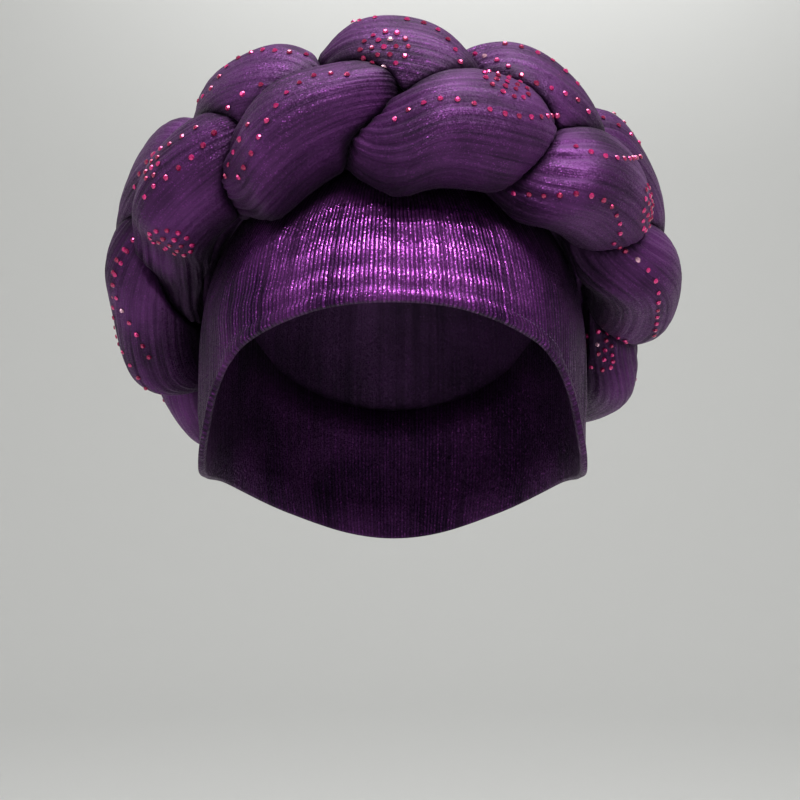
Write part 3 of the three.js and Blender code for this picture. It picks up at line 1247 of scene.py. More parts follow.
@dataclass(frozen=True)
class Fullness:
    """How full the braid is at one place round the head.

    Args:
        around: The place, in degrees from the front.
        outer_row: Share of the full size of the lobes away from the face.
        inner_row: The same of the lobes beside the band.
        start: How much an inner lobe widens where it begins.
        trail: How much it narrows where it ends.
        across: Millimetres by which the strands are moved away from the face.
        out: Millimetres by which they are moved out from the head.
    """

    around: float
    outer_row: float
    inner_row: float
    start: float
    trail: float
    across: float
    out: float


FULLNESS = (
    Fullness(around=-180, outer_row=1, inner_row=1, start=0, trail=0.2, across=0, out=2),
    Fullness(around=-125, outer_row=1, inner_row=1, start=0, trail=0.2, across=0, out=0.5),
    Fullness(around=-90, outer_row=1.1, inner_row=0.9, start=-0.3, trail=0.2, across=1.5, out=2),
    Fullness(around=-70, outer_row=1, inner_row=0.82, start=-0.7, trail=0.35, across=1, out=1),
    Fullness(around=-45, outer_row=0.92, inner_row=1, start=-0.1, trail=0.45, across=0, out=0),
    Fullness(around=0, outer_row=0.99, inner_row=1.02, start=0.12, trail=0.6, across=0, out=1),
    Fullness(around=22, outer_row=0.95, inner_row=1.02, start=0, trail=0.12, across=0, out=0.8),
    Fullness(around=45, outer_row=0.9, inner_row=1, start=0, trail=0.1, across=0, out=0.5),
    Fullness(around=90, outer_row=0.95, inner_row=0.92, start=-0.1, trail=0.2, across=2, out=0),
    Fullness(around=125, outer_row=0.97, inner_row=0.93, start=0, trail=0.2, across=1, out=0.5),
)


@dataclass(frozen=True)
class Braid:
    """Three padded strands plaited into a ring that leans out round the cap.

    Sizes are millimetres and angles degrees. The lobes give, for places round the head, how
    far the plait has turned there.
    """

    width: float = 93.0
    width_third: float = -2.5
    depth_middle: float = 17.8
    depth: float = -90.6
    depth_second: float = 7.0
    level_middle: float = 82.7
    level: float = 61.1
    level_second: float = -2.6
    lean: float = 12.3
    lean_front: float = 31.9
    lean_second: float = 0.6
    plan_width: float = 95.0
    plan_length: float = 115.0
    strands: int = 3
    swing: float = 19.0
    crossing: float = 6.6
    half_width: float = 26.2
    half_height: float = 17.2
    inner_fullness: float = 1.35
    roundness: float = 2.2
    pinch: float = 0.35
    height_pinch: float = 0.5
    dwell: float = 0.26
    start_rise: tuple[float, float] = (85.0, 125.0)
    start_fall: tuple[float, float] = (165.0, 215.0)
    trail_rise: tuple[float, float] = (172.0, 245.0)
    trail_fall: tuple[float, float] = (345.0, 300.0)
    crossing_lead: float = 12.0
    pinch_lead: float = 4.5
    turns_round: float = 4.0
    press_gap: float = 0.25
    cap_gap: float = 0.2
    # Painted shade on the strands: within cap_shade millimetres of the cap, and where a neighbour's girth
    # share lies within beside_shade.
    cap_shade: float = 20.0
    beside_shade: tuple[float, float] = (0.95, 1.3)
    least_share: float = 0.06
    search_steps: int = 34
    halvings: int = 9
    lobes: tuple[tuple[float, float], ...] = (
        (-97, 112),
        (-80, 140),
        (-66, 168),
        (-49, 229),
        (-12, 352),
        (18, 452),
        (52, 573),
        (85, 688),
        (120, 812),
        (147, 940),
        (171, 1065),
        (195, 1185),
        (219, 1305),
        (241, 1425),
    )

    def ring_frame(self, degrees: Grid) -> tuple[Grid, Grid, Grid]:
        """Where the braid is at each place round.

        Args:
            degrees: Places round the head.

        Returns:
            The braid's middle, and its directions out and across.
        """
        a = np.radians(degrees)
        s, c, s2, c2 = np.sin(a), np.cos(a), np.sin(2 * a), np.cos(2 * a)
        x = self.width * s + self.width_third * np.sin(3 * a)
        y = self.depth_middle + self.depth * c + self.depth_second * c2
        z = self.level_middle + self.level * c + self.level_second * c2
        along_x = self.width * c + 3 * self.width_third * np.cos(3 * a)
        along_y = -self.depth * s - 2 * self.depth_second * s2
        along_z = -self.level * s - 2 * self.level_second * s2
        along = unit_vectors(np.stack([along_x, along_y, along_z], axis=-1))
        lean = np.radians(self.lean + self.lean_front * c + self.lean_second * c2)
        plan_x, plan_y = s / self.plan_width, -c / self.plan_length
        flat = np.cos(lean) / np.hypot(plan_x, plan_y)
        out = np.stack([plan_x * flat, plan_y * flat, np.sin(lean)], axis=-1)
        out = unit_vectors(out - (out * along).sum(-1, keepdims=True) * along)
        return np.stack([x, y, z], axis=-1), out, np.cross(out, along)

    def turn(self, degrees: Grid) -> Grid:
        """How far the plait has turned at each place round.

        Args:
            degrees: Places round the head.

        Returns:
            Turns in degrees.
        """
        places = tuple(place for place, _ in self.lobes)
        slack = tuple(turn - self.turns_round * place for place, turn in self.lobes)
        return self.turns_round * degrees + RoundCurve(places, slack).at(degrees)

    def section(self, degrees: Grid, strand: int) -> Section:
        """The section of one strand.

        Args:
            degrees: Places round the head.
            strand: Number of the strand, from 0.

        Returns:
            Its section at each place.
        """

        def along_ring(column: str) -> Grid:
            """A column of the table of fullness, read at the places."""
            places = tuple(row.around for row in FULLNESS)
            return RoundCurve(places, tuple(getattr(row, column) for row in FULLNESS)).at(degrees)

        own = np.radians(self.turn(degrees)) - strand * math.tau / self.strands
        phase = own + self.dwell * np.cos(2 * own)
        size = blend(along_ring("inner_row"), along_ring("outer_row"), 0.5 + 0.5 * np.cos(phase))
        under = 0.5 - 0.5 * np.sin(2 * phase + math.radians(self.pinch_lead))
        lift = self.crossing * np.sin(2 * phase + math.radians(self.crossing_lead))
        turned = np.degrees(phase) % FULL_TURN
        begun = smooth_step(*self.start_rise, turned) * (1 - smooth_step(*self.start_fall, turned))
        ended = smooth_step(*self.trail_rise, turned) * smooth_step(*self.trail_fall, turned)
        return Section(
            across=self.swing * np.cos(phase) + along_ring("across"),
            out=lift + along_ring("out"),
            half_width=self.half_width * size * (1 - self.pinch * under),
            half_height=self.half_height * np.sqrt(size) * (1 - self.height_pinch * self.pinch * under),
            under=under,
            inner_side=1 + along_ring("start") * begun - along_ring("trail") * ended,
        )

    def girth_share(self, section: Section, across: Grid, out: Grid) -> Grid:
        """How far places are from the middle of a strand.

        Args:
            section: The strand's section.
            across: Places across the braid.
            out: Places out from its middle.

        Returns:
            A share for each place, where 1 is the strand's full girth.
        """
        aside = across - section.across[:, None]
        narrowed = np.where(aside < 0, section.inner_side[:, None], 1.0)
        wide = np.abs(aside) / (section.half_width[:, None] * narrowed)
        raised = out - section.out[:, None]
        fuller = np.where(raised < 0, self.inner_fullness, 1.0)
        high = np.abs(raised) / (section.half_height[:, None] * fuller)
        return (wide**self.roundness + high**self.roundness) ** (1 / self.roundness)

    def pressed(self, degrees: Grid, girth: Grid, strand: int) -> tuple[Grid, Grid, Grid]:
        """The surface of one strand, pressed flat where it meets the others and the cap.

        Args:
            degrees: Places round the head.
            girth: Angles round the strand, in radians.
            strand: Number of the strand, from 0.

        Returns:
            Points, the share of its full girth that the strand keeps at each, and how much
            painted shade each gets, from 0 to 1, darker beside the other strands and near the cap.
        """
        middle, out, across = self.ring_frame(degrees)
        sections = [self.section(degrees, k) for k in range(self.strands)]
        own = sections[strand]
        others = [s for k, s in enumerate(sections) if k != strand]
        cos, sin = np.cos(girth), np.sin(girth)
        unit = (np.abs(cos) ** self.roundness + np.abs(sin) ** self.roundness) ** (-1 / self.roundness)
        narrowed = np.where(cos[None, :] < 0, own.inner_side[:, None], 1.0)
        wide = own.half_width[:, None] * (unit * cos)[None, :] * narrowed
        fuller = np.where(sin < 0, self.inner_fullness, 1.0)
        high = own.half_height[:, None] * (unit * sin * fuller)[None, :]

        def place(share: Grid) -> tuple[Grid, Grid, Grid]:
            """Finds the places at a share of the full girth.

            Args:
                share: The share, for each place.

            Returns:
                Steps across and out, and the points.
            """
            u, h = own.across[:, None] + share * wide, own.out[:, None] + share * high
            points = middle[:, None] + u[..., None] * across[:, None] + h[..., None] * out[:, None]
            return u, h, points

        def stopped(share: Grid) -> Grid:
            """Tells where a share of the girth is too much.

            Args:
                share: The share, for each place.

            Returns:
                True where the cloth has met something.
            """
            u, h, points = place(share)
            met = ~(HEAD.reach(points, CROWN_OUTER + self.cap_gap) > 1)
            for other in others:
                gap = self.press_gap / (own.half_height + other.half_height)[:, None]
                met |= share > self.girth_share(other, u, h) - gap
            return met

        steps = np.linspace(self.least_share, 1.0, self.search_steps)
        first, found = np.full(wide.shape, 1.0), np.zeros(wide.shape, dtype=bool)
        for step in steps:
            hit = stopped(np.full(wide.shape, step)) & ~found
            first[hit] = step
            found |= hit
        kept, too_much = np.where(found, first - (steps[1] - steps[0]), 1.0), first
        for _ in range(self.halvings):
            half = (kept + too_much) / 2
            hit = stopped(half) & found
            kept, too_much = np.where(hit, kept, half), np.where(hit, half, too_much)
        share = np.where(found, np.maximum(kept, steps[0]), 1.0)
        u, h, points = place(share)
        nearest = np.minimum(*(self.girth_share(other, u, h) for other in others))
        # Painted shade: the strand is marked darker beside the other strands and near the cap.
        beside = 1 - smooth_step(*self.beside_shade, nearest)
        near_cap = 1 - smooth_step(0.0, 1.0, HEAD.clearance(points, CROWN_OUTER) / self.cap_shade)
        return points, share, np.maximum(beside, near_cap)


BRAID = Braid()


@dataclass(frozen=True)
class FoldWave:
    """Folds of one size that run along a padded strand.

    Args:
        count: How many go round the strand.
        depth: Their depth in millimetres where the strand is pinched.
        wander: How far they stray sideways, in radians of a wave.
        strays: The uneven pattern by which they stray on the first strand.
        sharpness: Power that makes the valleys narrow.
        level: Height in the wave that neither rises nor sinks.
        open_share: Share of the depth that is left where the strand is open.
    """

    count: int
    depth: float
    wander: float
    strays: Drift
    sharpness: float
    level: float
    open_share: float

    def at(self, along: Grid, girth: Grid, pinched: Grid, number: int) -> Grid:
        """Reads the folds of one strand.

        Args:
            along: Angles round the ring, in radians.
            girth: Angles round the strand, in radians.
            pinched: How much the strand is pinched at each place, from 0 to 1.
            number: Number of the strand, from 0.

        Returns:
            Heights in millimetres.
        """
        stray = self.wander * self.strays.of(number).at(along, girth)
        wave = np.abs(np.sin(self.count / 2 * girth + stray)) ** self.sharpness - self.level
        return self.depth * blend(self.open_share, 1, pinched) * wave


@dataclass
class PaddedStrand:
    """One padded cloth tube of the braid.

    Sizes are millimetres.
    """

    number: int
    cloth: bpy.types.Material
    stations: int = 600
    sides: int = 160
    roundings: int = 3
    long_folds: FoldWave = FoldWave(15, 2.4, 1.21, Drift(40, 9, 3), 0.75, 0.75, 0.12)
    short_folds: FoldWave = FoldWave(34, 0.7, 1.5, Drift(50, 14, 5), 0.8, 0.7, 0.3)
    strength: Drift = Drift(60, 12, 4)
    lumps: Drift = Drift(70, 16, 3, count=24)
    lump_height: float = 0.9
    fill: float = 0.75
    mean_radius: float = 21.0

    @property
    def name(self) -> str:
        """Name of the strand's CAD node."""
        return f"strand_{self.number + 1}"

    def _folds(self, degrees: Grid, girth: Grid, share: Grid) -> Grid:
        """Height of the folds over the strand, deepest where it is pinched.

        Args:
            degrees: Places round the head.
            girth: Angles round the strand, in radians.
            share: Share of its full girth that the strand keeps at each place.

        Returns:
            Heights in millimetres.
        """
        along, girth = np.radians(degrees)[:, None], girth[None, :]
        pinched = smooth_step(0.05, 0.75, BRAID.section(degrees, self.number).under[:, None])
        free = smooth_step(0.8, 0.99, share)
        strong = 0.5 + 0.5 * self.strength.of(self.number).at(along, girth)
        long_part = strong * self.long_folds.at(along, girth, pinched, self.number)
        short_part = self.short_folds.at(along, girth, pinched, self.number)
        lumps = self.lump_height * self.lumps.of(self.number).at(along, girth)
        return (long_part + short_part) * blend(0.25, 1, free) + lumps * free

    def build(self) -> bpy.types.Object:
        """Makes the strand.

        Returns:
            The strand's mesh object.
        """
        degrees = places_round(self.stations)
        girth = np.arange(self.sides) / self.sides * math.tau
        points, share, painted_shade = BRAID.pressed(degrees, girth, self.number)
        points = soften(points, self.roundings)
        points = points + grid_normals(points) * self._folds(degrees, girth, share)[..., None]
        made = mesh_object(f"{self.name}_padded", points.reshape(-1, 3), grid_faces(*share.shape))
        middle = points.mean(axis=1)
        steps = np.linalg.norm(np.roll(middle, -1, 0) - middle, axis=-1)
        length = np.concatenate([[0], np.cumsum(steps)[:-1]])[:, None]
        round_x, round_y = self.mean_radius * np.cos(girth), self.mean_radius * np.sin(girth)
        run = np.stack(np.broadcast_arrays(round_x, round_y, length), axis=-1)
        add_attribute(made.data, "cloth_run", run.reshape(-1, 3))
        # The painted shade, softened, darkens the strand beside the others and near the cap.
        add_attribute(made.data, "painted_shade", soften(painted_shade[..., None], 2).ravel())
        return made

    def dress(self, made: bpy.types.Object) -> None:
        """Gives the strand its finish and its place in the frame.

        Args:
            made: The strand's object.
        """
        made.data.materials.append(self.cloth)
        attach(made, "root")
        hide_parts(self.name)


# View, light and floor


@dataclass(frozen=True)
class View:
    """The camera that frames the head tie.

    Args:
        place: Where it stands, in millimetres.
        lens: Focal length in millimetres.
        sensor: Width of the sensor in millimetres.
        side: Pixels along each side of the picture.
    """

    place: tuple[float, float, float] = (3.0, -690.0, 30.0)
    lens: float = 73.6
    sensor: float = 36.0
    side: int = 800

    def build(self) -> None:
        """Makes the camera, which looks along +Y."""
        data = bpy.data.cameras.new("front_view")
        data.lens = self.lens
        data.sensor_width = self.sensor
        made = add_object("front_view", data)
        made.location = Vector(self.place) * MM
        made.rotation_euler = (math.pi / 2, 0, 0)
        bpy.context.scene.camera = made

    def ray(self, column: float, row: float) -> Vector:
        """Direction from the camera through a pixel of the picture.

        Args:
            column: Pixels from the left edge.
            row: Pixels from the top edge.

        Returns:
            The direction, one long.
        """
        focal = self.lens / self.sensor * self.side
        half = self.side / 2
        return Vector((column - half, focal, half - row)).normalized()


@dataclass(frozen=True)
class SoftBox:
    """A wide soft lamp.

    Args:
        name: Name of the lamp.
        place: Where it hangs, in metres.
        size: Width and height in metres.
        power: Watts.
        colour: Colour of its light.
        aim: The place that it is turned to.
    """

    name: str
    place: tuple[float, float, float]
    size: tuple[float, float]
    power: float
    colour: Colour = (1.0, 1.0, 1.0)
    aim: tuple[float, float, float] = (0.0, 0.0, 0.07)

    def build(self) -> None:
        """Makes the lamp."""
        data = bpy.data.lights.new(self.name, "AREA")
        data.shape = "RECTANGLE"
        data.size, data.size_y = self.size
        data.energy = self.power
        data.color = self.colour
        made = add_object(self.name, data)
        made.location = self.place
        beam = Vector(self.aim) - Vector(self.place)
        made.rotation_euler = beam.to_track_quat("-Z", "Y").to_euler()


@dataclass(frozen=True)
class Studio:
    """Plain pale floor that curves up into a wall all round, and soft light.

    Sizes are metres.
    """

    floor_level: float = -0.42
    floor_rings: tuple[float, float] = (0.3, 0.9)
    floor_radius: float = 1.7
    bend_radius: float = 0.9
    bend_steps: int = 14
    wall_height: float = 4.0
    turns: int = 96
    pale: Colour = (0.68, 0.685, 0.675)
    world: float = 0.22
    lamps: tuple[SoftBox, ...] = (
        SoftBox("key_lamp", (0.45, -1.0, 1.4), (0.8, 0.5), 23.0, (1.0, 0.98, 0.96)),
        SoftBox("top_lamp", (0.15, 0.1, 1.6), (1.1, 1.0), 23.0),
        SoftBox("side_lamp", (-1.3, -0.5, 0.9), (0.7, 0.7), 3.0, (0.96, 0.98, 1.0)),
        SoftBox("wall_lamp", (0.14, 2.1, 1.3), (1.2, 0.2), 5.4, aim=(0.14, 2.6, 0.9)),
    )

    def build(self) -> None:
        """Makes the floor, the wall, the lamps and the faint light from all round."""
        self._floor()
        for lamp in self.lamps:
            lamp.build()
        world = bpy.data.worlds.new("pale_room")
        world.use_nodes = True
        background = world.node_tree.nodes["Background"]
        background.inputs["Color"].default_value = (*self.pale, 1.0)
        background.inputs["Strength"].default_value = self.world
        bpy.context.scene.world = world
        bpy.context.scene.view_settings.view_transform = "Standard"

    def _floor(self) -> bpy.types.Object:
        """Makes the floor and the wall.

        Returns:
            Their one object.
        """
        bend = np.linspace(0, math.pi / 2, self.bend_steps)
        bent = self.floor_radius + self.bend_radius * np.sin(bend)
        radius = np.array([*self.floor_rings, *bent, bent[-1]])
        level = np.array([0.0, 0.0, *(self.bend_radius * (1 - np.cos(bend))), self.wall_height])
        angle = np.arange(self.turns)[:, None] / self.turns * math.tau
        x, y, z = radius * np.cos(angle), radius * np.sin(angle), level + self.floor_level
        points = np.stack(np.broadcast_arrays(x, y, z), axis=-1)
        count = len(radius)
        corners = np.concatenate([points.reshape(-1, 3), [[0, 0, self.floor_level]]])
        faces = grid_faces(self.turns, count, close_columns=False)
        centre = self.turns * count
        faces += [[centre, (i + 1) % self.turns * count, i * count] for i in range(self.turns)]
        made = mesh_object("pale_floor", corners / MM, faces)
        made.data.materials.append(self._paint())
        return made

    def _paint(self) -> bpy.types.Material:
        """Builds the matt pale paint of the floor and the wall.

        Returns:
            The material.
        """
        made, bench = new_material("pale_paint")
        matt = bench.noise(bench.place(), 1.3, 2.0).spread(0.8, 0.95)
        bench.surface({"Base Color": (*self.pale, 1.0), "Roughness": matt})
        return made


# Rows of small pieces


class Unit(Enum):
    """Small pieces that are set in rows."""

    STONE = "rhinestone"
    STITCH = "stitch"


@dataclass(frozen=True)
class Trail:
    """A line of places on a surface, with the way the surface faces at each.

    Args:
        points: Places in millimetres.
        facing: Unit normals of the surface.
        joined: Whether the places make a line. Loose places each take one piece.
    """

    points: Grid
    facing: Grid
    joined: bool = True


@dataclass(frozen=True)
class RowSetter:
    """Sets copies of one small piece along trails, with a geometry node tree.

    Sizes are millimetres.

    Args:
        name: Name of the finished object.
        unit: The piece that is set.
        spacing: Distance from piece to piece along a trail.
        size: Half the width of a piece.
        lift: How far the piece's middle stands off the surface.
        uneven: Share by which sizes differ.
        seed: Seed of what is uneven.
        tilt: Angle in radians by which a stone leans.
    """

    name: str
    unit: Unit
    spacing: float
    size: float
    lift: float
    uneven: float
    seed: int
    tilt: float = 0.1

    def build(self, trails: Sequence[Trail], finish: bpy.types.Material) -> bpy.types.Object:
        """Sets the pieces.

        Args:
            trails: Where they go.
            finish: Their material.

        Returns:
            One object with all the pieces.
        """
        edges, start = [], 0
        for trail in trails:
            if trail.joined:
                edges += [(start + i, start + i + 1) for i in range(len(trail.points) - 1)]
            start += len(trail.points)
        mesh = bpy.data.meshes.new(self.name)
        mesh.from_pydata((np.concatenate([t.points for t in trails]) * MM).tolist(), edges, [])
        add_attribute(mesh, "facing", np.concatenate([t.facing for t in trails]))
        sizes = {
            "Spacing": self.spacing * MM,
            "Size": self.size * MM,
            "Lift": self.lift * MM,
            "Uneven": self.uneven,
        }
        bench = self._tree(dict.fromkeys(sizes, "Float"), finish)
        return run_tree(add_object(self.name, mesh), bench, {**sizes, "Seed": self.seed})

    def _tree(self, sizes: dict[str, str], finish: bpy.types.Material) -> Bench:
        """Builds the tree that walks the trails and sets the pieces.

        Args:
            sizes: Kind of each input that is a size.
            finish: The pieces' material.

        Returns:
            The bench that the tree was built on.
        """
        inputs = {"Trails": "Geometry", **sizes, "Seed": "Int"}
        bench = new_tree(f"set_{self.unit.value}s", inputs, "Pieces")
        start = bench.node("NodeGroupInput")
        size, even, seed = (bench.out(start, name) for name in ("Size", "Uneven", "Seed"))
        facing = bench.stored("facing", "FLOAT_VECTOR")
        offset = bench.vector("SCALE", facing, Scale=bench.out(start, "Lift"))
        inputs = {"Geometry": self._places(bench, start), "Offset": offset}
        lifted = bench.node("GeometryNodeSetPosition", inputs)
        inputs = {"Min": size * (1.0 - even), "Max": size * (even + 1.0), "Seed": seed + 1.0}
        width = bench.node("FunctionNodeRandomValue", inputs, data_type="FLOAT")
        inputs = {
            "Points": bench.out(lifted),
            "Instance": self._piece(bench),
            "Rotation": self._turned(bench, facing, seed),
            "Scale": bench.out(width, "Value"),
        }
        pieces = bench.out(bench.node("GeometryNodeInstanceOnPoints", inputs))
        tone = bench.node("FunctionNodeRandomValue", {"Seed": seed + 2.0}, data_type="FLOAT")
        chance = bench.out(tone, "Value")
        toned = bench.keep(pieces, "tone", chance, data_type="FLOAT", domain="INSTANCE")
        real = bench.out(bench.node("GeometryNodeRealizeInstances", {"Geometry": toned}))
        dressed = bench.node("GeometryNodeSetMaterial", {"Geometry": real, "Material": finish})
        bench.node("NodeGroupOutput", {"Pieces": bench.out(dressed)})
        return bench

    def _places(self, bench: Bench, start: bpy.types.Node) -> Wire:
        """Finds the places: evenly along joined trails, and every loose place.

        Args:
            bench: Where to build.
            start: The tree's inputs.

        Returns:
            The places, as points.
        """
        trails = bench.out(start, "Trails")
        line = bench.out(bench.node("GeometryNodeMeshToCurve", {"Mesh": trails}))
        inputs = {"Curve": line, "Length": bench.out(start, "Spacing")}
        walked = bench.node("GeometryNodeCurveToPoints", inputs, mode="LENGTH")
        tangent = bench.out(walked, "Tangent")
        onward = bench.keep(bench.out(walked), "onward", tangent, data_type="FLOAT_VECTOR")
        neighbours = bench.node("GeometryNodeInputMeshVertexNeighbors")
        inputs = {"A": bench.out(neighbours, "Vertex Count"), "B": 0}
        lonely = bench.node("FunctionNodeCompare", inputs, data_type="INT", operation="EQUAL")
        inputs = {"Mesh": trails, "Selection": bench.out(lonely)}
        loose = bench.node("GeometryNodeMeshToPoints", inputs)
        places = bench.node("GeometryNodeJoinGeometry")
        for source in (onward, bench.out(loose)):
            bench.connect(places.inputs[0], source)
        return bench.out(places)

    def _turned(self, bench: Bench, facing: Wire, seed: Wire) -> Wire:
        """Turns each piece: a stitch along its trail, a stone by chance.

        Args:
            bench: Where to build.
            facing: The way the surface faces.
            seed: Seed of the stones' chance.

        Returns:
            The rotation.
        """
        align, turn = "FunctionNodeAlignRotationToVector", "FunctionNodeRotateRotation"
        upright = bench.out(bench.node(align, {"Vector": facing}, axis="Z"))
        if self.unit is Unit.STITCH:
            inputs = {"Rotation": upright, "Vector": bench.stored("onward", "FLOAT_VECTOR")}
            return bench.out(bench.node(align, inputs, axis="X", pivot_axis="Z"))
        low, high = (-self.tilt, -self.tilt, 0.0), (self.tilt, self.tilt, math.tau)
        inputs = {"Min": low, "Max": high, "Seed": seed}
        spin = bench.out(bench.node("FunctionNodeRandomValue", inputs, data_type="FLOAT_VECTOR"), "Value")
        return bench.out(bench.node(turn, {"Rotation": upright, "Rotate By": spin}, rotation_space="LOCAL"))

    def _piece(self, bench: Bench) -> Wire:
        """Makes the piece that is set.

        Args:
            bench: Where to build.

        Returns:
            The piece, about one unit in half width.
        """
        if self.unit is Unit.STONE:
            sizes = {"Vertices": 8, "Radius Top": 0.56, "Radius Bottom": 1.0, "Depth": 0.55}
            shape = bench.out(bench.node("GeometryNodeMeshCone", sizes), "Mesh")
        else:
            sizes = {"Segments": 8, "Rings": 5, "Radius": 1.0}
            ball = bench.out(bench.node("GeometryNodeMeshUVSphere", sizes), "Mesh")
            inputs = {"Geometry": ball, "Scale": (1.0, 0.34, 0.28)}
            shape = bench.out(bench.node("GeometryNodeTransform", inputs))
        inputs = {"Geometry": shape, "Shade Smooth": self.unit is Unit.STITCH}
        return bench.out(bench.node("GeometryNodeSetShadeSmooth", inputs))


@dataclass(frozen=True)
class SeenRow:
    """A row of stones that follows the lobes as the front view shows them.

    Args:
        name: Which row it is.
        pixels: A few of its places, as column and row in the front view's 800 pixels.
    """

    name: str
    pixels: tuple[tuple[float, float], ...]


@dataclass(frozen=True)
class SeenFlower:
    """A round cluster of stones, placed where the front view shows it.

    Args:
        name: Which cluster it is.
        pixel: Its middle, as column and row in the front view.
        rings: How many rings of stones go round its middle stone.
    """

    name: str
    pixel: tuple[float, float]
    rings: int = 2


SEEN_ROWS = (
    SeenRow(
        "centre_right",
        ((395, 119), (409, 110), (439, 99), (469, 102), (497, 112), (526, 117), (557, 116)),
    ),
    SeenRow("centre_left", ((347, 75), (317, 75), (288, 92), (268, 119), (253, 150), (239, 177))),
    SeenRow("left_strip", ((248, 125), (238, 143), (229, 165), (226, 176))),
    SeenRow("upper_left", ((261, 85), (248, 91), (236, 99), (228, 108))),
    SeenRow("upper_left_edge", ((306, 55), (282, 52), (258, 51), (230, 64), (213, 87), (199, 101))),
    SeenRow("left_top", ((214, 133), (193, 156), (172, 173), (152, 188), (145, 197))),
    SeenRow("left_edge", ((196, 128), (174, 142), (157, 152), (143, 168), (135, 187))),
    SeenRow("far_left", ((133, 240), (118, 258), (113, 283), (121, 308), (137, 335), (149, 357))),
    SeenRow("lower_left", ((123, 352), (134, 371), (146, 388))),
    SeenRow("top_left_edge", ((325, 38), (345, 25), (375, 18))),
    SeenRow("top_right_edge", ((407, 20), (433, 27), (452, 45), (460, 62))),
    SeenRow("upper_right", ((475, 54), (500, 62), (531, 81), (556, 90), (579, 101), (588, 112))),
    SeenRow("upper_right_edge", ((505, 44), (530, 50), (557, 64), (577, 84))),
    SeenRow("right_top", ((576, 147), (605, 156), (627, 159), (640, 157))),
    SeenRow("right_edge", ((603, 118), (625, 130), (645, 150), (658, 172))),
    SeenRow("right", ((514, 193), (548, 196), (582, 194), (608, 203), (619, 222), (620, 233))),
    SeenRow("lower_right", ((614, 243), (642, 264), (657, 285), (657, 318), (654, 335))),
)
SEEN_FLOWERS = (
    SeenFlower("top_flower", (384, 47)),
    SeenFlower("left_flower", (170, 245)),
    SeenFlower("right_flower", (507, 82)),
    SeenFlower("side_flower", (650, 208)),
    SeenFlower("low_right_flower", (605, 350)),
    SeenFlower("left_top_flower", (152, 168), 1),
)


@dataclass
class Rhinestones:
    """The pink stones that are set in rows and flowers on the braid.

    Sizes are millimetres and angles degrees. The front view shows the rows of an outer lobe
    up to outer_seen from the front, and of an inner lobe up to inner_seen. On the lobes
    beyond, rows and flowers follow one rule.
    """

    size: float = 1.14
    spacing: float = 6.0
    lift: float = 0.3
    petal: float = 4.6
    outer_crest: float = 45.0
    outer_seen: float = 70.0
    outer_girth: float = 62.0
    inner_crest: float = 225.0
    inner_seen: float = 92.0
    inner_girth: float = 125.0
    flower_girth: float = 100.0
    row_reach: float = 42.0
    row_places: int = 9
    row_bend: float = 0.25

    def trails(self, carrier: "Carrier") -> list[Trail]:
        """All the rows and flowers.

        Args:
            carrier: The braid's surface.

        Returns:
            Trails on the braid.
        """
        found = [carrier.seen_trail(row.pixels) for row in SEEN_ROWS]
        found += [carrier.flower(carrier.hit(f.pixel), f.rings, self.petal) for f in SEEN_FLOWERS]
        for number in range(BRAID.strands):
            found += self._hidden_trails(carrier, number)
        return [t for t in found if t is not None and len(t.points)]

    def _hidden_trails(self, carrier: "Carrier", number: int) -> list[Trail]:
        """Rows and flowers of one strand on the lobes that the front view doesn't show.

        Args:
            carrier: The braid's surface.
            number: Number of the strand, from 0.

        Returns:
            Their trails.
        """
        degrees = np.linspace(-180, 180, 1441)
        own = BRAID.turn(degrees) - number * FULL_TURN / BRAID.strands
        spread = np.linspace(-self.row_reach, self.row_reach, self.row_places)
        bend = self.row_bend * np.sin(np.radians(2 * spread))
        found = []
        for crest, seen, girth in (
            (self.outer_crest, self.outer_seen, self.outer_girth),
            (self.inner_crest, self.inner_seen, self.inner_girth),
        ):
            first = math.ceil((own[0] - crest) / FULL_TURN)
            last = math.floor((own[-1] - crest) / FULL_TURN)
            for n in range(first, last + 1):
                middle = crest + n * FULL_TURN
                place = float(np.interp(middle, own, degrees))
                if abs(place) < seen:
                    continue
                at = np.interp(middle + spread, own, degrees)
                found.append(carrier.strand_trail(number, at, math.radians(girth) + bend))
                if crest == self.outer_crest and n % 2 == number % 2:
                    spot = np.array([place]), np.array([math.radians(self.flower_girth)])
                    centre = carrier.strand_trail(number, *spot)
                    found.append(carrier.flower((centre.points[0], centre.facing[0]), 2, self.petal))
        return found

    def build(self, carrier: "Carrier") -> bpy.types.Object:
        """Sets the stones.

        Args:
            carrier: The braid's surface.

        Returns:
            The stones' object.
        """
        sizes = self.spacing, self.size, self.lift
        setter = RowSetter("rhinestones", Unit.STONE, *sizes, uneven=0.1, seed=11)
        return setter.build(self.trails(carrier), STONE_GLASS.material())

    def dress(self, made: bpy.types.Object) -> None:
        """Gives the stones their place in the frame."""
        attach(made, "root")


